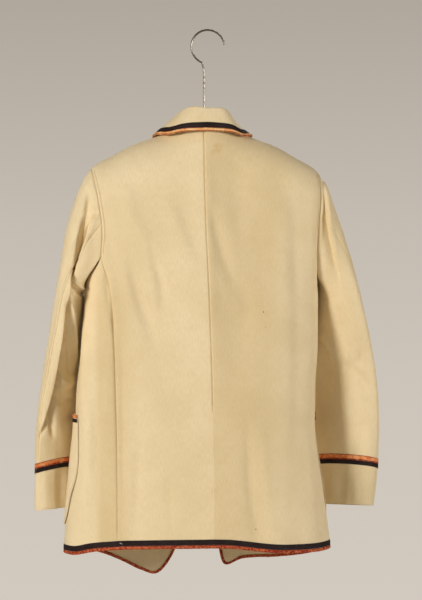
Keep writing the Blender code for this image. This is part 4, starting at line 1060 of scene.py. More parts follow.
def collar_grid(columns, stand_rows, fold_rows, leaf_rows):
    """Points of the collar: rows run from its seam, over the fold, to its outer edge."""
    tables = {side: [smooth_line(COLLAR[side], np.abs(columns), k) for k in range(1, 11)] for side in COLLAR}
    values = np.where(columns < 0, tables[LEFT], tables[RIGHT])
    for k in (0, 3, 6):
        values[k] = NECK_X - 3 * (1 - np.abs(columns)) + np.sign(columns) * values[k]
    seam, fold, edge = (values[k:k + 3].T * [1, 1, -1] for k in (0, 3, 6))
    run, down, away = collar_frame(fold, columns)
    centre = fold + FOLD_ROUND * down
    frame = np.stack([away, down, run], axis=1)
    seam_flat, edge_flat = (np.einsum("nij,nj->ni", frame, p - centre) for p in (seam, edge))
    first = collar_touch(seam_flat, 1)
    last = collar_touch(edge_flat, -1) + 2 * np.pi
    angles = first + (last - first) * np.asarray(fold_rows)[:, None]
    arc = FOLD_ROUND * np.stack([np.cos(angles), np.sin(angles), np.zeros_like(angles)], axis=-1)
    stand = seam_flat + (arc[0] - seam_flat) * np.asarray(stand_rows)[:, None, None]
    span = edge_flat - arc[-1]
    length = np.linalg.norm(span, axis=1)
    strips = [1 - width / length for width in (ORANGE_WIDTH + BLACK_WIDTH, ORANGE_WIDTH, 0)]
    shares = np.stack([row * strips[0] for row in leaf_rows] + strips)[..., None]
    bow = np.stack([span[:, 1], -span[:, 0], 0 * length], axis=-1) / length[:, None]
    leaf = arc[-1] + span * shares + bow * np.sin(np.pi * shares) * values[9][:, None]
    flat = np.concatenate([stand, arc, leaf])
    grid = centre + np.einsum("rni,nij->rnj", flat, frame)
    normals = grid_normals(grid, closed=False)
    return grid, normals * -np.sign(normals[-1, len(columns) // 2, 1])


def lapel_grid(side, rows, columns):
    """Points of a lapel that lies on its front: rows along the roll, columns outwards."""
    line = [(NECK_X + side * x, d) for x, d in ROLL_LINE]
    edge_x, edge_drop = FRONT_EDGE[side][-1]
    roll = smooth_path([(edge_x + side, edge_drop - 2)] + line[1:], rows * LAPEL_TOP)
    run = unit(np.gradient(roll, axis=0))
    out = np.column_stack([-run[:, 1], run[:, 0]]) * side
    tilt = np.radians(GORGE_SLOPE) * rows[:, None] ** 4
    out = out * np.cos(tilt) - run * np.sin(tilt)
    width = smooth_line(LAPEL, rows)[:, None]
    taped = (ORANGE_WIDTH + BLACK_WIDTH) * np.minimum(1, width / LAPEL_TAPED)
    strip = np.array([1, ORANGE_WIDTH / (ORANGE_WIDTH + BLACK_WIDTH), 0])
    reach = np.concatenate([(width - taped) * columns[None, :-1], width - taped * strip], axis=1)
    spots = roll[:, None] + out[:, None] * reach[..., None]
    x, drop = spots[..., 0], spots[..., 1]
    turn = turn_on_front(x, drop)
    normals = torso_normal(turn, drop)
    return torso_point(turn, drop) + normals * (LAPEL_LIFT + CLOTH), normals


def pocket_points(side, columns, rows):
    """Outer points of a pocket, which lies on its front, with their normals."""
    first, last, top, bottom = POCKET[side]
    across, down = np.meshgrid(columns, rows)
    near = np.clip((CORNER_WIDTH - 0.5 + np.abs(across - 0.5)) / CORNER_WIDTH, 0, 1)
    lifted = (1 - np.sqrt(1 - near**2)) * CORNER_HEIGHT * down**2
    bow = POCKET_BOW[side] * np.sin(np.pi * np.clip(down, 0, 1)) * (1 - across) ** 2
    turn = side * (first - bow + (last - first) * across)
    drop = top + (bottom - top) * (down - lifted)
    points, normals = torso_point(turn, drop), torso_normal(turn, drop)
    bulge = POCKET_BULGE * np.sin(np.pi * across) * np.cos(np.pi / 2 * down) ** 0.5
    return points + normals * (POCKET_LIFT + bulge + CLOTH)[..., None], normals


def seen_place(points):
    """Where points show from the photo's direction: millimetres right of and below the origin."""
    angle = math.radians(CAMERA_AZIMUTH)
    right = np.array([math.cos(angle), math.sin(angle), 0.0])
    away = np.array([-math.sin(angle), math.cos(angle), 0.0])
    centre = np.array(CAMERA_CENTRE) / MM
    size = CAMERA_DISTANCE / (CAMERA_DISTANCE + (points - centre) @ away * MM)
    across = centre @ right + (points - centre) @ right * size
    down = -centre[2] - (points - centre)[:, 2] * size
    return np.column_stack([across, down])


def crease_height(table, spot):
    """How far a table of creases moves the cloth at places, along its normals."""
    moved = np.zeros(len(spot))
    for line, width, depth, kind in table:
        line = smooth_path(line, np.linspace(0, 1, CREASE_PARTS * (len(line) - 1) + 1))
        nearest = np.full(len(spot), 1e9)
        share = np.zeros(len(spot))
        across = np.zeros(len(spot))
        for k, (a, b) in enumerate(zip(line[:-1], line[1:])):
            run = b - a
            along = np.clip(((spot - a) @ run) / (run @ run), 0, 1)
            off = spot - a - along[:, None] * run
            far = np.hypot(off[:, 0], off[:, 1])
            closer = far < nearest
            nearest = np.where(closer, far, nearest)
            share = np.where(closer, (k + along) / (len(line) - 1), share)
            across = np.where(closer, off[:, 0] * run[1] - off[:, 1] * run[0], across)
        fade = np.sin(np.pi * np.clip(share, *CREASE_ENDS)) ** CREASE_FADE
        far = nearest / width
        if kind == STEP:
            side = smooth_step(np.sign(across) * far / STEP_SLOPE + 0.5)
            high, low = (height * np.exp(-((far / reach) ** 2)) for height, reach in (STEP_HIGH, STEP_LOW))
            form = (1 - side) * high - side * low
        elif kind == SHARP:
            form = np.exp(0.2 - np.sqrt(far**2 + 0.04))
        else:
            form = np.exp(-(far**2))
        moved += depth * fade * form
    return moved


def ripple_height(points):
    """The slow unevenness of hanging cloth at points."""
    dice = np.random.default_rng(RIPPLE_SEED)
    height = np.zeros(len(points))
    for _ in range(RIPPLES):
        length = dice.uniform(*RIPPLE_LENGTH)
        way = dice.normal(size=3) * RIPPLE_WAY
        way = way / np.linalg.norm(way) * 2 * np.pi / length
        height += RIPPLE_HEIGHT * length / RIPPLE_SPAN * np.sin(points @ way + dice.uniform(0, 2 * np.pi))
    return height


def relief(points, normals, creases):
    """How far creases and unevenness move the cloth, from what it looks towards."""
    rear = smooth_step(REAR_SHARE - normals[:, 1] * REAR_FADE)
    fore = smooth_step(normals[:, 1] * FORE_FADE)
    height = ripple_height(points) + crease_height(creases, seen_place(points)) * rear
    return height + crease_height(FRONT_CREASES, points[:, [0, 2]] * [1, -1]) * fore


def raised(grid, normals, creases, fade=None):
    """A grid of points moved by the relief, which may fade out at places."""
    height = relief(grid.reshape(-1, 3), normals.reshape(-1, 3), creases).reshape(grid.shape[:-1])
    if fade is not None:
        height = height * fade
    return grid + normals * height[..., None]


def armhole_share(rows):
    """How much a row of the body is beside the armhole, which fades out below it."""
    return 1 - smooth_step(rows - (len(ARM_ROWS) - 1))


def quiet_edges(rows, from_edge):
    """How much relief a panel keeps, which is none at the shoulder seam and the armhole."""
    top = smooth_step(rows / BODY_GROWTH)[:, None]
    beside = smooth_step(from_edge / BODY_GROWTH)[None]
    return top * (1 - armhole_share(rows)[:, None] * (1 - beside))


def boundary(cells):
    """The edges that only one cell has, in that cell's direction."""
    edges = {}
    for cell in cells:
        for k in range(len(cell)):
            edge = (cell[k], cell[(k + 1) % len(cell)])
            edges[edge] = edges.get(edge, 0) + 1
    return [edge for edge in edges if (edge[1], edge[0]) not in edges]


def line_tree(lines, step):
    """A search tree over points along lines, which are pairs of ends."""
    spots = []
    for a, b in lines:
        count = max(1, int(np.ceil(np.linalg.norm(b - a) / step)))
        for k in range(count + 1):
            spots.append(a + (b - a) * k / count)
    tree = KDTree(len(spots))
    for k, spot in enumerate(spots):
        tree.insert(spot, k)
    tree.balance()
    return tree


def distances(points, tree):
    """How far each point is from the nearest one in a tree."""
    return np.array([tree.find(point)[2] for point in points])


def mesh_piece(name, points, faces, colour, flat=None):
    """A smooth piece from points in millimetres, riding on the body."""
    mesh = bpy.data.meshes.new(name)
    mesh.from_pydata((np.asarray(points) * MM).tolist(), [], faces)
    mesh.validate()
    if flat is not None:
        layer = mesh.uv_layers.new(name="flat_cloth")
        corners = np.array([loop.vertex_index for loop in mesh.loops])
        layer.data.foreach_set("uv", (flat[corners] * MM).ravel())
    mesh.shade_smooth()
    mesh.set_sharp_from_angle(angle=math.radians(SHARP_ANGLE))
    mesh.materials.append(colour)
    piece = bpy.data.objects.new(name, mesh)
    bpy.context.scene.collection.objects.link(piece)
    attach(piece, "root")
    return piece


def pairs_of(lines):
    """The ends of each part of some lines."""
    return [(a, b) for line in lines for a, b in zip(line[:-1], line[1:])]


def groove(points, lines, depth, reach):
    """How far points sink beside lines."""
    if not len(lines):
        return np.zeros(len(points))
    far = distances(points, line_tree(pairs_of(lines), SEAM_STEP))
    return depth * np.exp(-((far / reach) ** 2))


def shell(name, cloth, colour, thick=CLOTH, lines=(), seams=(), soft_seam=None):
    """A closed wall under a piece's outer face, with rolled edges, and sunk at seams and stitches."""
    edges = boundary(cloth.cells)
    tree = line_tree([(cloth.points[a], cloth.points[b]) for a, b in edges], EDGE_STEP)
    near = distances(cloth.points, tree)
    dip = min(EDGE_DIP, thick * EDGE_SHARE) * np.exp(-((near / EDGE_REACH) ** EDGE_CURVE))
    if soft_seam is not None:
        dip = dip * soft_seam(cloth.points)
    sunk = groove(cloth.points, lines, STITCH_DIP, STITCH_REACH)
    turned = groove(cloth.points, seams, SEAM_DIP, SEAM_REACH)
    outer = cloth.points - cloth.normals * (dip + sunk + turned)[:, None]
    inner = cloth.points - cloth.normals * (thick - dip + turned)[:, None]
    count = len(outer)
    faces = [tuple(int(k) for k in cell) for cell in cloth.cells]
    under = [tuple(k + count for k in reversed(face)) for face in faces]
    rim = [(int(b), int(b) + count, int(a) + count, int(a)) for a, b in edges]
    faces = faces + under + rim
    if faces_look_in(cloth):
        faces = [tuple(reversed(face)) for face in faces]
    flat = np.vstack([cloth.flat, cloth.flat])
    return mesh_piece(name, np.vstack([outer, inner]), faces, colour, flat)


def faces_look_in(cloth):
    """Whether the cells' corners run so that their faces look against the normals."""
    total = 0.0
    for cell in cloth.cells[::7]:
        a, b, c = (cloth.points[cell[k]] for k in (0, 1, 2))
        total += float(np.dot(np.cross(b - a, c - a), cloth.normals[cell[0]]))
    return total < 0


def ribbon(name, rows, normals, colour, closed=False):
    """A tape through rows of points on the cloth."""
    if closed:
        rows = np.concatenate([rows, rows[:, :1]], axis=1)
        normals = np.concatenate([normals, normals[:, :1]], axis=1)
    length = run_of(steps_of(rows[0]))
    across = run_of(np.linalg.norm(np.diff(rows, axis=0), axis=2).mean(axis=1))
    flat = np.stack(np.meshgrid(length, across), axis=-1)
    drift = PUCKER_DRIFT[0] * np.sin(length / PUCKER_DRIFT[1])
    pucker = PUCKER_FINE[0] * np.sin(length / PUCKER_FINE[1] + drift)
    pucker = pucker + PUCKER_SLOW[0] * np.sin(length / PUCKER_SLOW[1])
    middle = np.sin(np.pi * across / across[-1])[:, None]
    points = rows + normals * (TAPE_LIFT + TAPE_THICK + (pucker[None] * middle + TAPE_RISE))[..., None]
    return shell(name, one_grid(points, normals, flat), colour, thick=TAPE_THICK)


def wrapped(rows, normals, reach):
    """Rows of a tape that also goes round the edge, which is the last row, and back inside."""
    outward = unit(rows[-1] - rows[-2])
    edge = rows[-1] + outward * WRAP_OUT - normals[-1] * CLOTH / 2
    low_rows, low_normals = [], []
    widths = np.linalg.norm(rows - rows[-1], axis=2).mean(axis=1)
    for width, row in zip(widths[::-1], range(len(rows))[::-1]):
        if WRAP_FROM < width <= reach:
            low_rows.append(rows[row] - normals[row] * CLOTH)
            low_normals.append(-normals[row])
    all_rows = np.concatenate([rows, edge[None], np.stack(low_rows)])
    all_normals = np.concatenate([normals, outward[None], np.stack(low_normals)])
    return all_rows, all_normals


def at_length(values, along, place):
    """A line's values at a place along it."""
    return np.array([np.interp(place, along, values[:, k]) for k in range(3)])


def ring_points(centre, radius, aside, up, sides):
    """Points of a circle round a centre."""
    angles = np.linspace(0, 2 * np.pi, sides, endpoint=False)[:, None]
    return list(centre + radius * (aside * np.cos(angles) + up * np.sin(angles)))


def ring_faces(base, rings, sides):
    """Faces of a solid of rings of points, one after another, closed at both ends."""
    faces = []
    for start in range(base, base + (rings - 1) * sides, sides):
        for k in range(sides):
            a, b = start + k, start + (k + 1) % sides
            faces.append((a, b, b + sides, a + sides))
    last = base + (rings - 1) * sides
    faces.append(tuple(base + k for k in reversed(range(sides))))
    faces.append(tuple(last + k for k in range(sides)))
    return faces


def stitches(name, lines, colour, kind):
    """Rows of short stitches along lines, each a pair of points and normals."""
    pitch, length, radius, sink = kind
    points, faces = [], []
    for line, normals in lines:
        along = run_of(steps_of(line))
        for start in np.arange(pitch, along[-1] - pitch, pitch):
            centre, ahead = at_length(line, along, start), at_length(line, along, start + 0.5)
            up = unit(at_length(normals, along, start))
            way = unit(ahead - centre)
            faces += ring_faces(len(points), len(STITCH_STATIONS), STITCH_SIDES)
            for place, size in STITCH_STATIONS:
                heart = centre + way * place * length + up * radius * (size - 1) * STITCH_BEND
                heart = heart - up * (sink - radius)
                reach = radius * max(size, STITCH_TIP)
                points += ring_points(heart, reach, np.cross(way, up), up, STITCH_SIDES)
    return mesh_piece(name, points, faces, colour)


def cloth_piece(name, cloth, colour, **sewing):
    """The shell of a piece of cloth, in place of the node of its name."""
    piece = shell(f"shell_{name}", cloth, colour, **sewing)
    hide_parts(name)
    return piece


def tape_piece(name, node, face, colour, closed=False):
    """A black or orange tape through rows of points and normals, in place of a node."""
    piece = ribbon(name, *face, colour, closed)
    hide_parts(node)
    return piece


class Nodes:
    """A material's nodes, made and joined in few words."""

    def __init__(self, name):
        self.material = bpy.data.materials.new(name)
        self.material.use_nodes = True
        self.tree = self.material.node_tree
        self.shader = self.tree.nodes["Principled BSDF"]

    def add(self, kind, **values):
        node = self.tree.nodes.new(kind)
        for key, value in values.items():
            if key in node.inputs:
                node.inputs[key].default_value = value
            else:
                setattr(node, key, value)
        return node

    def join(self, out, into):
        self.tree.links.new(out, into)

    def noise(self, where, scale, detail=2.0, rough=0.5):
        node = self.add("ShaderNodeTexNoise", Scale=scale, Detail=detail, Roughness=rough)
        self.join(where, node.inputs["Vector"])
        return node.outputs["Fac"]

    def stretched(self, where, factors):
        node = self.add("ShaderNodeVectorMath", operation="MULTIPLY")
        self.join(where, node.inputs[0])
        node.inputs[1].default_value = factors
        return node.outputs["Vector"]

    def band(self, where, scale, axis):
        node = self.add("ShaderNodeTexWave", Scale=scale, Distortion=1.2, Detail=1.0)
        node.wave_type = "BANDS"
        node.bands_direction = axis
        self.join(where, node.inputs["Vector"])
        return node.outputs["Fac"]

    def math(self, work, a, b=None):
        node = self.add("ShaderNodeMath", operation=work)
        for k, value in enumerate((a, b)):
            if value is None:
                continue
            if isinstance(value, (int, float)):
                node.inputs[k].default_value = value
            else:
                self.join(value, node.inputs[k])
        return node.outputs[0]

    def times(self, a, b):
        return self.math("MULTIPLY", a, b)

    def between(self, value, low, high, start=0.0, end=1.0):
        """Goes softly from start to end as a value goes from low to high."""
        node = self.add("ShaderNodeMapRange", interpolation_type="SMOOTHSTEP")
        for key, number in (("From Min", low), ("From Max", high), ("To Min", start), ("To Max", end)):
            node.inputs[key].default_value = number
        self.join(value, node.inputs["Value"])
        return node.outputs["Result"]

    def mix(self, share, first, second):
        node = self.add("ShaderNodeMix", data_type="RGBA")
        self.join(share, node.inputs["Factor"])
        for key, value in (("A", first), ("B", second)):
            socket = [s for s in node.inputs if s.name == key and s.type == "RGBA"][0]
            if isinstance(value, tuple):
                socket.default_value = (*value, 1)
            else:
                self.join(value, socket)
        return [s for s in node.outputs if s.type == "RGBA"][0]

    def bump(self, height, distance, strength=1.0, under=None):
        node = self.add("ShaderNodeBump", Strength=strength, Distance=distance)
        self.join(height, node.inputs["Height"])
        if under is not None:
            self.join(under, node.inputs["Normal"])
        return node.outputs["Normal"]

    def place(self):
        return self.add("ShaderNodeTexCoord").outputs["Object"]

    def on_cloth(self):
        return self.add("ShaderNodeUVMap", uv_map="flat_cloth").outputs["UV"]

    def axes(self, where=None):
        apart = self.add("ShaderNodeSeparateXYZ")
        self.join(self.place() if where is None else where, apart.inputs[0])
        return [apart.outputs[axis] for axis in "XYZ"]

    def spot(self, x, drop, low, high):
        """1 at a place on the back, fading out between two distances from it."""
        across, depth, height = self.axes()
        flat = self.add("ShaderNodeCombineXYZ")
        self.join(across, flat.inputs["X"])
        self.join(height, flat.inputs["Z"])
        far = self.add("ShaderNodeVectorMath", operation="DISTANCE")
        self.join(flat.outputs[0], far.inputs[0])
        far.inputs[1].default_value = (x * MM, 0, -drop * MM)
        inside = self.between(far.outputs["Value"], low * MM, high * MM, 1.0, 0.0)
        return self.times(inside, self.math("LESS_THAN", depth, 0.0))

    def finish(self, colour, normal, roughness, others=()):
        """Joins the looks to the shader, sets its other sockets and returns the material."""
        self.join(colour, self.shader.inputs["Base Color"])
        self.join(normal, self.shader.inputs["Normal"])
        if isinstance(roughness, float):
            self.shader.inputs["Roughness"].default_value = roughness
        else:
            self.join(roughness, self.shader.inputs["Roughness"])
        for name, value in others:
            self.shader.inputs[name].default_value = value
        return self.material


def linear(colour):
    """A screen colour from 0 to 255 as the renderer's own colour."""
    share = np.array(colour) / 255
    curved = ((share + 0.055) / 1.055) ** 2.4
    return tuple(float(c) for c in np.where(share <= 0.04045, share / 12.92, curved))


def painted_shade_right(nodes):
    """How much painted shade darkens the back's right half, fading out towards its side."""
    x, _, z = nodes.axes()
    across = nodes.math("SUBTRACT", x, nodes.times(z, PAINTED_SHADE_RIGHT_SLOPE))
    return nodes.between(across, *PAINTED_SHADE_RIGHT_FADE, PAINTED_SHADE_RIGHT, 0.0)


def painted_shadow_left(nodes):
    """How much painted shadow of the left sleeve darkens a strip under the armhole, beside the side seam."""
    x, y, z = nodes.axes()
    strip = nodes.times(nodes.between(x, *PAINTED_SHADOW_LEFT_START), nodes.between(x, *PAINTED_SHADOW_LEFT_END, 1.0, 0.0))
    low = nodes.times(strip, nodes.between(z, *PAINTED_SHADOW_LEFT_TOP, 1.0, 0.0))
    return nodes.times(low, nodes.between(y, *PAINTED_SHADOW_LEFT_FRONT, PAINTED_SHADOW_LEFT, 0.0))


def wool(name, marks=False, painted_shade=None):
    """Cream wool flannel: a fine even weave under a soft raised nap."""
    nodes = Nodes(name)
    place = nodes.place()
    flat = nodes.on_cloth()
    fibre = nodes.noise(place, 950.0, 3.0, 0.7)
    upright = nodes.noise(nodes.stretched(flat, (1.0, 0.16, 1.0)), 620.0, 3.0, 0.6)
    slow = nodes.between(nodes.noise(place, 9.0, 3.0), 0.35, 0.7)
    mottle = nodes.between(nodes.noise(place, 55.0, 4.0, 0.6), 0.45, 0.75, 0.0, 0.35)
    colour = nodes.mix(slow, linear(CREAM), linear(CREAM_AGED))
    colour = nodes.mix(mottle, colour, linear(CREAM_MOTTLE))
    colour = nodes.mix(nodes.between(fibre, 0.52, 0.8, 0.0, 0.45), colour, linear(CREAM_FLECK))
    colour = nodes.mix(nodes.between(upright, 0.4, 0.68, 0.0, 0.2), colour, linear(CREAM_SHADE))
    colour = nodes.mix(nodes.between(upright, 0.48, 0.3, 0.0, 0.14), colour, linear(CREAM_LIGHT))
    if marks:
        uneven = nodes.between(nodes.noise(place, 160.0, 3.0), 0.3, 0.7, 0.25, 0.6)
        for where, strength in ((STAIN, uneven), (FAINT_STAIN, FAINT_STRENGTH)):
            colour = nodes.mix(nodes.times(nodes.spot(*where), strength), colour, linear(STAIN_BROWN))
        for x, drop, size in SPECKS:
            colour = nodes.mix(nodes.spot(x, drop, size * 0.5, size), colour, linear(SPECK_BROWN))
    # Painted shade: darkens the cloth's colour where the given mask asks for it.
    if painted_shade:
        colour = nodes.mix(painted_shade(nodes), colour, linear(PAINTED_SHADE_COLOUR))
    weave = nodes.times(nodes.band(flat, WEAVE_SCALE, "X"), nodes.band(flat, WEAVE_SCALE, "Y"))
    normal = nodes.bump(weave, 0.00012, 0.6)
    normal = nodes.bump(fibre, 0.00035, 0.8, normal)
    normal = nodes.bump(nodes.noise(place, 330.0, 3.0, 0.6), 0.0004, 0.6, normal)
    return nodes.finish(colour, normal, nodes.between(fibre, 0.3, 0.8, 0.86, 0.96), (
        ("Specular IOR Level", 0.25),
        ("Sheen Weight", 0.22),
        ("Sheen Roughness", 0.45),
        ("Sheen Tint", (1.0, 0.93, 0.8, 1)),
    ))


def ribbed(name, base, worn, fleck, share, shine, tone_scale, lines, line_colour):
    """A ribbed braid tape with a worn colour, flecks of the thread beneath, and lines along it."""
    nodes = Nodes(name)
    place = nodes.place()
    flat = nodes.on_cloth()
    tone = nodes.between(nodes.noise(place, tone_scale, 4.0, 0.6), 0.38, 0.64)
    flecks = nodes.between(nodes.noise(place, 240.0, 3.0, 0.65), 0.56, 0.66, 0.0, share)
    patches = nodes.between(nodes.noise(place, 26.0, 2.0), 0.42, 0.6)
    ribs = nodes.band(flat, RIB_SCALE, "X")
    colour = nodes.mix(tone, linear(base), linear(worn))
    colour = nodes.mix(nodes.times(flecks, patches), colour, linear(fleck))
    colour = nodes.mix(nodes.times(nodes.math("SUBTRACT", 1.0, ribs), 0.22), colour, linear(fleck))
    if lines:
        across = nodes.axes(flat)[1]
        uneven = nodes.between(nodes.noise(place, 210.0, 3.0, 0.6), 0.3, 0.6, 0.35, 1.0)
        for at, half_width in lines:
            off = nodes.math("ABSOLUTE", nodes.math("SUBTRACT", across, at * MM))
            near = nodes.between(off, half_width * 0.6 * MM, half_width * MM, 1.0, 0.0)
            colour = nodes.mix(nodes.times(near, uneven), colour, linear(line_colour))
    fibre = nodes.noise(place, 1500.0, 2.0, 0.6)
    normal = nodes.bump(fibre, 0.0002, 0.6, nodes.bump(ribs, 0.0002, 0.7))
    rough = nodes.between(fibre, 0.3, 0.7, shine, shine + 0.15)
    return nodes.finish(colour, normal, rough, (("Specular IOR Level", 0.2),))


def thread(name, colour):
    """Twisted sewing thread."""
    nodes = Nodes(name)
    twist = nodes.band(nodes.place(), 900.0, "DIAGONAL")
    tone = nodes.mix(twist, tuple(c * 0.72 for c in linear(colour)), linear(colour))
    return nodes.finish(tone, nodes.bump(twist, 0.0001, 0.5), 0.7)


def horn():
    """Polished horn with brown streaks."""
    nodes = Nodes("horn_streaked")
    place = nodes.place()
    dark, pale, streak_brown = (linear(brown) for brown in HORN_BROWNS)
    streak = nodes.band(place, 42.0, "DIAGONAL")
    cloud = nodes.noise(place, 220.0, 4.0, 0.6)
    tone = nodes.mix(nodes.between(cloud, 0.3, 0.7), dark, pale)
    colour = nodes.mix(nodes.times(streak, 0.5), tone, streak_brown)
    rough = nodes.between(cloud, 0.2, 0.8, 0.22, 0.38)
    return nodes.finish(colour, nodes.bump(cloud, 0.0001, 0.3), rough, (("Coat Weight", 0.25),))


def wood():
    """Waxed beech: grain along the bar, with pores."""
    nodes = Nodes("wood_grain")
    pale, dark, pore_brown = (linear(brown) for brown in BEECH_BROWNS)
    stretch = nodes.add("ShaderNodeMapping", Scale=(6.0, 90.0, 90.0))
    nodes.join(nodes.place(), stretch.inputs["Vector"])
    grain = nodes.noise(stretch.outputs[0], 1.6, 5.0, 0.65)
    pores = nodes.noise(stretch.outputs[0], 14.0, 2.0, 0.6)
    colour = nodes.mix(nodes.between(grain, 0.35, 0.65), pale, dark)
    colour = nodes.mix(nodes.between(pores, 0.6, 0.7, 0.0, 0.6), colour, pore_brown)
    rough = nodes.between(grain, 0.3, 0.7, 0.38, 0.55)
    return nodes.finish(colour, nodes.bump(pores, 0.00015, 0.5), rough)


def steel():
    """Bright plated wire with fine drawing marks and some dull spots."""
    nodes = Nodes("steel_wire")
    place = nodes.place()
    dull = nodes.noise(place, 180.0, 4.0, 0.6)
    colour = nodes.mix(nodes.between(dull, 0.5, 0.72), *(linear(grey) for grey in STEEL_GREYS))
    normal = nodes.bump(nodes.noise(place, 90.0, 2.0), 0.00001, 0.1)
    rough = nodes.between(dull, 0.35, 0.7, 0.34, 0.5)
    return nodes.finish(colour, normal, rough, (("Metallic", 1.0),))


def centre_seam_closed(points):
    """How much of the edge roll stays, which is less where the centre-back seam lies closed."""
    seam_x = smooth_line(CENTRE_SEAM, -points[:, 2])
    at_seam = np.exp(-(((points[:, 0] - seam_x) / CLOSED_REACH) ** 2)) * (points[:, 1] < 0)
    low = smooth_step((-points[:, 2] - SEAM_CLOSED + CLOSED_SPAN) / (2 * CLOSED_SPAN))
    return 1 - CLOSED_SHARE * at_seam * low


def pressed_seam(points):
    """How much of the edge roll stays along the right sleeve's seams."""
    return np.full(len(points), PRESSED)


def offset_line(line, normals, distance, toward):
    """A line moved along the cloth by a distance, to the side where toward lies."""
    run = mean_run(line[:, None], 0)[:, 0]
    across = unit(np.cross(run, normals))
    sign = np.sign((across * (toward - line)).sum(axis=1, keepdims=True))
    return line + across * sign * distance


def build_back(side, colour):
    """Half of the back, with what the armhole, the hem and the sewing need of it."""
    coarse = back_places(side)
    arm_end = len(ARM_ROWS) - 1
    tape_row = len(coarse) - 3
    rows = np.unique(np.concatenate([
        SHOULDER_PLACES,
        np.linspace(1, arm_end, arm_end * ROW_PARTS + 1),
        np.linspace(arm_end, tape_row, (tape_row - arm_end) * BACK_PARTS + 1),
        len(coarse) - LAST_PLACES,
    ]))
    last = len(BACK_COLUMNS) - 1
    fine_share = np.arange(1, STITCH_PARTS) / STITCH_PARTS
    columns = np.unique(np.concatenate([places(last + 1, 4), last - fine_share, fine_share * 0.5]))
    grid = top_on_shoulder(finer(coarse, rows, columns), rows)
    points, normals = torso_face(grid)
    points[0, :, 1] -= SEAM_GAP / 2
    points = raised(points, normals, BODY_CREASES, quiet_edges(rows, columns[-1] - columns))
    arm = np.flatnonzero(rows <= arm_end + SAME)[STITCHED_FROM:]
    line = offset_line(points[arm, -1], normals[arm, -1], ARMHOLE_STITCH, points[arm, -8])
    seams = [points[rows <= tape_row - ABOVE_TAPE, -1], points[-grid[:, 0, 1] > -SEAM_CLOSED, 0]]
    piece = cloth_piece(f"back_{WORDS[side]}", one_grid(points, normals, torso_flat(grid)), colour,
                        lines=[line], seams=seams, soft_seam=centre_seam_closed)
    return piece, (line, normals[arm, -1]), coarse[:, -1], coarse[-3:]


def front_rows(last):
    """Rows of a fine front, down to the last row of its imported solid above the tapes."""
    arm_end = len(ARM_ROWS) - 1
    upper = np.linspace(1, arm_end, (arm_end - 1) * ROW_PARTS + 1)
    lower = np.linspace(arm_end, last, (last - arm_end) * ROW_PARTS + 1)
    lower = np.unique(np.round(np.concatenate([lower, last - CORNER_PLACES]), 5))
    return np.unique(np.concatenate([SHOULDER_PLACES, upper, lower]))


def build_front(side, colour):
    """One front, from the side seam to the front edge and the roll of the lapel."""
    side_grid, front_grid, rails, count, hem_count, edge_count = front_places(side)
    arm_end = len(ARM_ROWS) - 1
    last = len(front_grid) - 1
    rows = front_rows(last)
    columns = places(len(FRONT_COLUMNS), 5)
    side_columns = places(len(SIDE_COLUMNS[side]), SIDE_PARTS[side], True, False)
    cloth = Cloth()

    def lay(grid, shift=0.0, fade=None):
        points, normals = torso_face(grid)
        points[..., 1] += shift
        return cloth.add(raised(points, normals, BODY_CREASES, fade), normals, torso_flat(grid))

    front = top_on_shoulder(finer(front_grid, rows, columns), rows)
    shift = np.zeros(front.shape[:2])
    shift[0] = SEAM_GAP / 2
    front_numbers = lay(front, shift, quiet_edges(rows, columns))
    cloth.fill(front_numbers)
    low_rows = rows[rows >= arm_end - SAME] - arm_end
    sides = finer(side_grid, low_rows, side_columns)
    side_numbers = lay(sides[:, :-1], fade=1 - armhole_share(low_rows + arm_end)[:, None])
    junction = int(np.argmin(np.abs(rows - arm_end)))
    side_numbers = np.column_stack([side_numbers, front_numbers[junction:, 0]])
    cloth.fill(side_numbers)
    up_edge = front_numbers[::-1, -1]
    edge_rows = rows[rows >= last - (edge_count - 1) - SAME]
    along = np.concatenate([
        side_columns,
        count - 1 + columns[1:],
        hem_count - 1 + (last - edge_rows)[::-1][1:],
    ])
    inner = np.concatenate([side_numbers[-1], front_numbers[-1, 1:], up_edge[1:len(edge_rows)]])
    strip = np.stack([inner, *(lay(between(rails[k], along)[None])[0] for k in (1, 2))])
    cloth.fill(strip)
    above = up_edge[len(edge_rows)]
    cloth.cells.append((strip[1, -1], strip[0, -1], above))
    cloth.cells.append((strip[2, -1], strip[1, -1], above))
    side_line = side_numbers[rows[-len(side_numbers):] <= last - ABOVE_TAPE, 0]
    seams = [cloth.points[line] for line in (front_numbers[:junction + 1, 0], side_numbers[0], side_line)]
    piece = cloth_piece(f"front_{WORDS[side]}", cloth, colour, seams=seams)
    armhole = np.concatenate([side_grid[0, :-1], front_grid[:arm_end + 1, 0][::-1]])
    return piece, armhole, rails


def armhole_loop(back_edge, front_edge):
    """The armhole's points and normals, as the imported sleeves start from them."""
    points, normals = torso_face(np.concatenate([back_edge[:len(ARM_ROWS)], front_edge[1:-1]]))
    points[0, 1] -= SEAM_GAP / 2
    return points, normals


def coarse_sleeve(side, loop, loop_normals):
    """A sleeve's angles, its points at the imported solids' rows, and its first ring's normals."""
    length = np.linalg.norm(np.roll(loop, -1, axis=0) - loop, axis=1)
    angles = 360 * run_of(length)[:-1] / length.sum()
    tape_rows = CUFF_TAPE_DROP + np.array([0, CUFF_ORANGE_WIDTH, CUFF_ORANGE_WIDTH + BLACK_WIDTH])
    drops = np.concatenate([SLEEVE_DROPS, tape_rows, [BELOW_CUFF_TAPE, CUFF_DROP]])
    plain = grid_normals(sleeve_grid(side, loop, angles, HEAD_ROWS, drops))
    first, first_normals = sleeve_start(side, loop, loop_normals, plain[0])
    return angles, sleeve_grid(side, first, angles, HEAD_ROWS, drops), first_normals


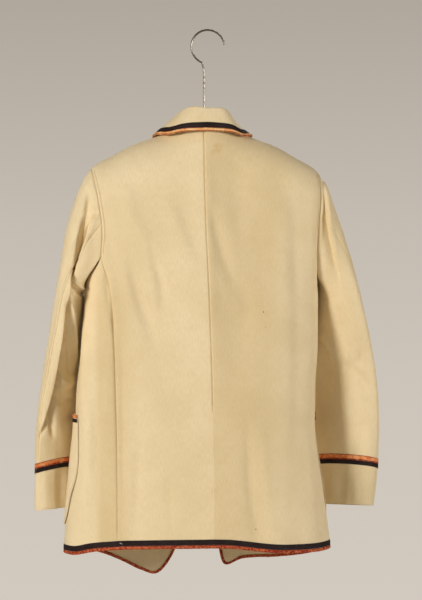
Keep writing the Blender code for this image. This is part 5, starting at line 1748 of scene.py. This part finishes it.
def sleeve_rows(count):
    """Rows of a fine sleeve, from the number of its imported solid's rows."""
    head_end = len(HEAD_ROWS) - 1
    tape_start, tape_end = count - CUFF_ROWS, count - 3
    return np.unique(np.round(np.concatenate([
        HEAD_PLACES,
        np.linspace(0.4, head_end, 58),
        np.linspace(head_end, tape_start, 76)[1:],
        np.linspace(tape_start, tape_end, 9)[1:],
        np.linspace(tape_end, count - 1, 13)[1:],
        count - 1 - CLOSE_ON_SLEEVE,
    ]), 5))


def sleeve_turns(angles, hind, fore):
    """Places round a fine sleeve, from its hind seam to the same seam again."""
    count = len(angles)
    steps = [CLOSE_ON_SLEEVE, [count], count - CLOSE_ON_SLEEVE]
    steps += [fore - hind + CLOSE_ON_SLEEVE, fore - hind - CLOSE_ON_SLEEVE]
    for k in range(hind, hind + count):
        parts = REAR_PARTS if REAR_FROM <= angles[k % count] <= REAR_TO else FORE_PARTS
        steps.append(k - hind + np.arange(parts) / parts)
    return hind + np.unique(np.round(np.concatenate(steps), 5))


def closed_normals(grid):
    """Normals of a grid whose last column lies on its first."""
    normals = grid_normals(grid[:, :-1])
    return np.concatenate([normals, normals[:, :1]], axis=1)


def fine_sleeve(side, angles, coarse, first_normals, rows, turn):
    """A fine sleeve's points, normals and angles, with its folds and creases."""
    fine = finer(np.concatenate([coarse, coarse, coarse[:, :1]], axis=1), rows, turn)
    fine_angles = between(np.concatenate([angles, angles + 360, [720.0]]), turn)
    around = unit(between(np.concatenate([first_normals, first_normals, first_normals[:1]]), turn))
    fade = smooth_step(rows / SLEEVE_GROWTH)[:, None]
    height = sleeve_fold(np.broadcast_to(np.mod(fine_angles, 360), fine.shape[:2]), -fine[..., 2])
    normals = unit(closed_normals(fine) * fade[..., None] + around * (1 - fade[..., None]))
    fine = fine + normals * (height * fade)[..., None]
    fine = raised(fine, normals, SLEEVE_CREASES[side], smooth_step(rows)[:, None])
    return fine, unit(closed_normals(fine) * fade[..., None] + around * (1 - fade[..., None])), fine_angles


def part_seams(points, normals):
    """Moves both long edges of a sleeve's piece away from its neighbour."""
    down = mean_run(points, 0)
    for end, beside in ((0, 1), (-1, -2)):
        across = unit(np.cross(down[:, end], normals[:, end]))
        toward = np.sign((across * (points[:, beside] - points[:, end])).sum(axis=1, keepdims=True))
        points[:, end] += across * toward * SEAM_GAP / 2


def build_sleeve(side, loop, loop_normals, colour):
    """Both pieces of a sleeve with its cuff tapes' points and its seam's stitch lines."""
    angles, coarse, first_normals = coarse_sleeve(side, loop, loop_normals)
    hind, fore = (int(np.argmin(np.abs(angles - seam))) for seam in (HIND_SEAM, FORE_SEAM))
    rows = sleeve_rows(len(coarse))
    turn = sleeve_turns(angles, hind, fore)
    fine, normals, fine_angles = fine_sleeve(side, angles, coarse, first_normals, rows, turn)
    flat = scaled(fine_angles, rows, FLAT_SLEEVE)
    sewn = fine[HIND_STITCHED]
    stitch_line = offset_line(sewn[:, 0], normals[HIND_STITCHED, 0], HIND_STITCH, sewn[:, -6])
    above_tape = rows <= len(coarse) - CUFF_ROWS - ABOVE_TAPE
    seam_at = int(np.argmin(np.abs(turn - fore)))
    made = []
    for name, a, b, fore_column in (("under", 0, seam_at, -1), ("upper", seam_at, len(turn) - 1, 0)):
        points, looks = fine[:, a:b + 1].copy(), normals[:, a:b + 1]
        part_seams(points, looks)
        seams = [points[0], points[above_tape, fore_column]]
        if side == LEFT:
            seams.append(points[above_tape, -1 - fore_column])
        made.append(cloth_piece(
            f"sleeve_{WORDS[side]}_{name}", one_grid(points, looks, flat[:, a:b + 1]), colour,
            lines=[stitch_line] if name == "upper" else [], seams=seams,
            soft_seam=None if side == LEFT else pressed_seam))
    tapes = {}
    for key, shift in (("orange", 0), ("black", 1)):
        spots = len(coarse) - CUFF_ROWS + CUFF_TAPE_ROWS + shift
        tapes[key] = [face[:, :-1] for face in rows_at(fine, normals, rows, spots)]
    return made, tapes, (stitch_line, normals[HIND_STITCHED, -3])


def between_rows(grid, rows, place):
    """A grid's row at a place between its numbered rows."""
    k = int(np.clip(np.searchsorted(rows, place) - 1, 0, len(rows) - 2))
    share = (place - rows[k]) / (rows[k + 1] - rows[k])
    return grid[k] * (1 - share) + grid[k + 1] * share


def rows_at(grid, normals, rows, spots):
    """A grid's rows, and their normals, at places between its numbered rows."""
    points = np.stack([between_rows(grid, rows, spot) for spot in spots])
    return points, unit(np.stack([between_rows(normals, rows, spot) for spot in spots]))


def build_cuff_tapes(side, tapes, materials):
    """The two tapes round a sleeve's end."""
    made = []
    for key, face in tapes.items():
        name = f"{WORDS[side]}_{key}"
        made.append(tape_piece(f"tape_cuff_{name}", f"cuff_tape_{name}", face, materials[key], True))
    return made


def rail_rows(rails, distances_in):
    """Places at distances in from the edge, between the inner, middle and outer rail."""
    inner, middle, outline = rails
    rows = []
    for distance in distances_in:
        if distance > ORANGE_WIDTH:
            share = (distance - ORANGE_WIDTH) / BLACK_WIDTH
            rows.append(middle + (inner - middle) * share)
        else:
            rows.append(outline + (middle - outline) * distance / ORANGE_WIDTH)
    return np.stack(rows)


def build_edge_tapes(back_rails, front_rails, materials):
    """The two tapes along the front edges and the whole hem."""
    chain = [front_rails[RIGHT][:, ::-1], back_rails[RIGHT][:, ::-1], back_rails[LEFT], front_rails[LEFT]]
    parts = []
    for k, rails in enumerate(chain):
        along = np.linspace(0, rails.shape[1] - 1, (rails.shape[1] - 1) * ROW_PARTS + 1)
        fine = np.stack([between(rail, along) for rail in rails])
        parts.append(fine if k == 0 else fine[:, 1:])
    rails = np.concatenate(parts, axis=1)
    made = []
    # The hem's orange tape takes the braid's darker copy, which carries painted shade.
    for key, look in (("black", "black"), ("orange", "worn")):
        points, normals = torso_face(rail_rows(rails, EDGE_TAPE_ROWS[key]))
        face = raised(points, normals, BODY_CREASES), normals
        if key == "orange":
            face = wrapped(*face, WRAP_REACH)
        made.append(tape_piece(f"tape_edge_{key}", f"edge_tape_{key}", face, materials[look]))
    return made


def build_collar(colour, materials):
    """The collar, with the two tapes along its outer edge."""
    grid, normals = collar_grid(COLLAR_COLUMNS, STAND_ROWS, FOLD_ROWS, LEAF_ROWS)
    count = len(grid)
    rows = np.concatenate([places(count - 2, 4, True, False), count - LAST_PLACES])
    across = places(len(COLLAR_COLUMNS), 5)
    fine, looks = finer(grid, rows, across), unit(finer(normals, rows, across))
    fine = raised(fine, looks, BODY_CREASES, COLLAR_RELIEF)
    piece = cloth_piece("collar", one_grid(fine, looks, scaled(across, rows, FLAT_COLLAR)), colour)
    made = []
    for key, look in (("black", "black"), ("orange", "pale")):
        face = rows_at(fine, looks, rows, count - 3 + np.array(COLLAR_TAPE_ROWS[key]))
        if key == "orange":
            face = wrapped(*face, WRAP_REACH)
        made.append(tape_piece(f"tape_collar_{key}", f"collar_tape_{key}", face, materials[look]))
    return piece, made


def build_lapel(side, colour, materials):
    """A lapel, with the two tapes along its outer edge."""
    word = WORDS[side]
    grid, normals = lapel_grid(side, LAPEL_ROWS, LAPEL_COLUMNS)
    down, across = places(len(LAPEL_ROWS), 7), places(grid.shape[1], 5)
    fine, looks = finer(grid, down, across), unit(finer(normals, down, across))
    fine = raised(fine, looks, BODY_CREASES)
    piece = cloth_piece(f"lapel_{word}", one_grid(fine, looks, scaled(across, down, FLAT_LAPEL)), colour)
    turned = [np.swapaxes(values, 0, 1) for values in (fine, looks)]
    made = []
    for key, start in (("black", grid.shape[1] - 3), ("orange", grid.shape[1] - 2)):
        face = rows_at(*turned, across, start + LAPEL_TAPE_ROWS)
        made.append(tape_piece(f"tape_lapel_{word}_{key}", f"lapel_tape_{word}", face, materials[key]))
    return piece, made


def build_pocket(side, colour, materials):
    """A hip pocket, with the two tapes along its top and its line of stitches."""
    word = WORDS[side]
    top, bottom = POCKET[side][2:]
    taped = np.array([0.5, 1]) * (ORANGE_WIDTH + BLACK_WIDTH) / (bottom - top)
    rows = np.concatenate([[0], taped, POCKET_ROWS])
    down = np.interp(places(len(rows), 5), range(len(rows)), rows)
    across = np.interp(places(len(POCKET_COLUMNS), 4), range(len(POCKET_COLUMNS)), POCKET_COLUMNS)
    points, normals = pocket_points(side, across, down)
    points = raised(points, normals, BODY_CREASES)
    below = down > taped[1] * 1.1
    edge, edge_normals = (
        np.concatenate([face[below, 0], face[-1, 1:-1], face[below, -1][::-1]]) for face in (points, normals))
    centre = points[below].reshape(-1, 3).mean(axis=0)
    line = offset_line(edge, edge_normals, POCKET_STITCH, np.broadcast_to(centre, edge.shape))
    cloth = one_grid(points, normals, scaled(across, down, FLAT_POCKET))
    piece = cloth_piece(f"pocket_{word}", cloth, colour, lines=[line])
    made = []
    for key, shares in POCKET_TAPE_ROWS.items():
        spots, aims = pocket_points(side, across, np.interp(shares, range(len(rows)), rows))
        face = raised(spots, aims, BODY_CREASES), aims
        made.append(tape_piece(f"tape_pocket_{word}_{key}", f"pocket_tape_{word}", face, materials[key]))
    return piece, made, (line, edge_normals)


def body_spot(turn, drop):
    """A place on the body's cloth, and its normal."""
    points, normals = torso_face(np.array([[turn, drop]]))
    return raised(points, normals, BODY_CREASES)[0], normals[0]


def front_edge_x(side, drop):
    """The x of a front's edge at a drop."""
    return smooth_line([(d, x) for x, d in reversed(FRONT_EDGE[side])], drop)


def button_mesh(centre, normal):
    """A four-hole button with a raised rim and a dished middle, and its two directions."""
    aside = unit(np.cross(normal, (0, 0, 1.0)))
    up = np.cross(aside, normal)
    points = []
    for share, height in BUTTON_PROFILE:
        radius = max(share, 0.02) * BUTTON_RADIUS
        points += ring_points(centre + normal * height, radius, aside, up, BUTTON_SIDES)
    return points, ring_faces(0, len(BUTTON_PROFILE), BUTTON_SIDES), aside, up


def build_buttons(horn_material, thread_material):
    """The buttons on the right front, sewn on through their holes."""
    for word, drop in zip(BUTTON_WORDS, BUTTON_DROPS):
        turn = float(turn_on_front(front_edge_x(RIGHT, drop) + BUTTON_INSET, drop))
        point, normal = body_spot(turn, drop)
        centre = point + normal * (BUTTON_LIFT + BUTTON_THICK / 2)
        points, faces, aside, up = button_mesh(centre, normal)
        piece = mesh_piece(f"button_{word}_turned", points, faces, horn_material)
        drill_holes(piece, centre, normal, aside, up)
        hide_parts(f"button_{word}")
        lines = []
        for across in (-HOLE_ACROSS, HOLE_ACROSS):
            start = centre + aside * across - up * SEWN_REACH + normal * SEWN_LEVEL
            line = np.linspace(start, start + up * 2 * SEWN_REACH, 5)
            lines.append((line, np.tile(normal, (5, 1))))
        stitches(f"thread_button_{word}", lines, thread_material, BUTTON_THREAD)


def select_only(things):
    """Selects some objects, the first of them as the active one."""
    bpy.ops.object.select_all(action="DESELECT")
    for thing in things:
        thing.select_set(True)
    bpy.context.view_layer.objects.active = things[0]


def drill_holes(piece, centre, normal, aside, up):
    """Cuts the four sewing holes."""
    cutters = []
    for across in (-HOLE_ACROSS, HOLE_ACROSS):
        for along in (-HOLE_ALONG, HOLE_ALONG):
            spot = (centre + aside * across + up * along) * MM
            bpy.ops.mesh.primitive_cylinder_add(
                vertices=16, radius=HOLE_RADIUS * MM, depth=HOLE_DEPTH * MM, location=tuple(spot))
            cutter = bpy.context.object
            cutter.rotation_mode = "QUATERNION"
            cutter.rotation_quaternion = Vector(normal).to_track_quat("Z", "Y")
            cutters.append(cutter)
    select_only(cutters)
    bpy.ops.object.join()
    tool = bpy.context.object
    cut = piece.modifiers.new("holes", "BOOLEAN")
    cut.operation = "DIFFERENCE"
    cut.object = tool
    cut.solver = "EXACT"
    select_only([piece])
    bpy.ops.object.modifier_apply(modifier="holes")
    bpy.data.objects.remove(tool)


def build_buttonholes(thread_material):
    """Worked buttonholes on the left front, beside the buttons' levels."""
    for word, drop in zip(BUTTON_WORDS, BUTTON_DROPS):
        x = front_edge_x(LEFT, drop) - np.linspace(*BUTTONHOLE_REACH, BUTTONHOLE_POINTS)
        lines = []
        for level in (-BUTTONHOLE_HALF, BUTTONHOLE_HALF):
            drops = np.full(len(x), drop + level)
            points, normals = torso_face(np.column_stack([turn_on_front(x, drops), drops]))
            lines.append((raised(points, normals, BODY_CREASES), normals))
        stitches(f"buttonhole_{word}", lines, thread_material, BUTTONHOLE_THREAD)


def build_lint(colour):
    """A scrap of white lint on the hem's black tape."""
    point, normal = body_spot(float(turn_on_back(LINT_X, LINT_DROP)), LINT_DROP)
    line = point + np.array(LINT_BENDS)
    stitches("lint", [(line, np.tile(normal, (len(line), 1)))], colour, LINT_THREAD)


def put(name, data, place, way):
    """Puts a camera or a lamp at a place, facing a way."""
    thing = bpy.data.objects.new(name, data)
    thing.location = place
    thing.rotation_mode = "QUATERNION"
    thing.rotation_quaternion = way.to_track_quat("-Z", "Y")
    bpy.context.scene.collection.objects.link(thing)
    return thing


def camera():
    """The camera, in the photo's direction."""
    data = bpy.data.cameras.new("view")
    data.lens = CAMERA_LENS
    data.sensor_width = CAMERA_SENSOR
    azimuth = math.radians(CAMERA_AZIMUTH)
    back = Vector((math.sin(azimuth), -math.cos(azimuth), 0))
    place = Vector(CAMERA_CENTRE) + back * CAMERA_DISTANCE
    bpy.context.scene.camera = put("view", data, place, -back)


def light(name, place, size, power, colour):
    """A round lamp that aims at the blazer."""
    data = bpy.data.lights.new(name, "AREA")
    data.shape = "DISK"
    data.size = size
    data.energy = power
    data.color = colour
    put(name, data, place, Vector(LAMP_AIM) - Vector(place))


def surround():
    """A grey-beige surround that is lighter below, and lights less than it shows."""
    world = bpy.data.worlds.new("surround")
    world.use_nodes = True
    tree = world.node_tree
    add, join = tree.nodes.new, tree.links.new
    apart = add("ShaderNodeSeparateXYZ")
    join(add("ShaderNodeTexCoord").outputs["Generated"], apart.inputs[0])
    level = add("ShaderNodeMapRange")
    level.inputs["From Min"].default_value = -SURROUND_TILT
    level.inputs["From Max"].default_value = SURROUND_TILT
    join(apart.outputs["Z"], level.inputs["Value"])
    ramp = add("ShaderNodeValToRGB")
    join(level.outputs["Result"], ramp.inputs["Fac"])
    elements = ramp.color_ramp.elements
    while len(elements) < len(SURROUND):
        elements.new(0.5)
    for element, (place, colour) in zip(elements, SURROUND):
        element.position = place
        element.color = (*linear(colour), 1)
    strength = add("ShaderNodeMapRange")
    strength.inputs["To Min"].default_value = SURROUND_LIGHT
    join(add("ShaderNodeLightPath").outputs["Is Camera Ray"], strength.inputs["Value"])
    shader = tree.nodes["Background"]
    join(ramp.outputs["Color"], shader.inputs["Color"])
    join(strength.outputs["Result"], shader.inputs["Strength"])
    bpy.context.scene.world = world


def studio():
    """Soft lights, the surround and a pale floor."""
    for name, values in LAMPS.items():
        light(name, *values)
    surround()
    bpy.ops.mesh.primitive_circle_add(
        vertices=96, radius=FLOOR_SIZE, fill_type="NGON", location=(0, 0, FLOOR_LEVEL))
    floor = bpy.context.object
    floor.name = "floor"
    nodes = Nodes("pale_floor")
    tone = nodes.mix(nodes.noise(nodes.place(), 3.0, 3.0), *(linear(grey) for grey in FLOOR_GREYS))
    nodes.join(tone, nodes.shader.inputs["Base Color"])
    nodes.shader.inputs["Roughness"].default_value = 0.85
    floor.data.materials.append(nodes.material)
    floor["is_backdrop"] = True
    bpy.context.scene.view_settings.view_transform = "Standard"
    bpy.context.scene.view_settings.look = "None"


def write_size(first):
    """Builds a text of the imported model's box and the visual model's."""
    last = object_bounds()
    ('{"cad": [%s], "visual": [%s]}\n' % tuple(
        ", ".join(str([round(float(v), 5) for v in corner]) for corner in box) for box in (first, last)))


def build():
    """Makes every piece."""
    cream = wool("cream_flannel")
    # The body's halves carry painted shade on the back's right half and a painted shadow of the left sleeve.
    body = {
        LEFT: wool("cream_flannel_left_painted_shadow", marks=True, painted_shade=painted_shadow_left),
        RIGHT: wool("cream_flannel_right_painted_shade", marks=True, painted_shade=painted_shade_right),
    }
    tapes = {key: ribbed(*looks) for key, looks in BRAID.items()}
    cream_thread = thread("cream_thread", CREAM_THREAD)
    back_rails, front_rails, sewing = {}, {}, []
    pieces = {}
    for side in (LEFT, RIGHT):
        back, arm_stitch, back_edge, back_rails[side] = build_back(side, body[side])
        front, front_edge, front_rails[side] = build_front(side, body[side] if side == LEFT else cream)
        loop, loop_normals = armhole_loop(back_edge, front_edge)
        sleeves, cuff, hind_stitch = build_sleeve(side, loop, loop_normals, cream)
        cuff_tapes = build_cuff_tapes(side, cuff, tapes)
        lapel, lapel_tapes = build_lapel(side, cream, tapes)
        pocket, pocket_tapes, pocket_stitch = build_pocket(side, cream, tapes)
        sewing += [arm_stitch, hind_stitch, pocket_stitch]
        pieces[side] = (back, front, sleeves, cuff_tapes, lapel, lapel_tapes, pocket, pocket_tapes)
    edge_tapes = build_edge_tapes(back_rails, front_rails, tapes)
    collar, collar_tapes = build_collar(cream, tapes)
    seam_thread = stitches("stitches", sewing, cream_thread, SEAM_THREAD)
    build_buttons(horn(), cream_thread)
    build_buttonholes(cream_thread)
    build_lint(thread("white_lint", LINT_WHITE))

    for side in (LEFT, RIGHT):
        back, front, sleeves, cuff_tapes, lapel, lapel_tapes, pocket, pocket_tapes = pieces[side]


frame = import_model()
first_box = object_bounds()
camera()
studio()
build()
for node, made in (("hanger_arms", wood()), ("hanger_hook", steel())):
    frame["nodes"][node].data.materials[0] = made
write_size(first_box)
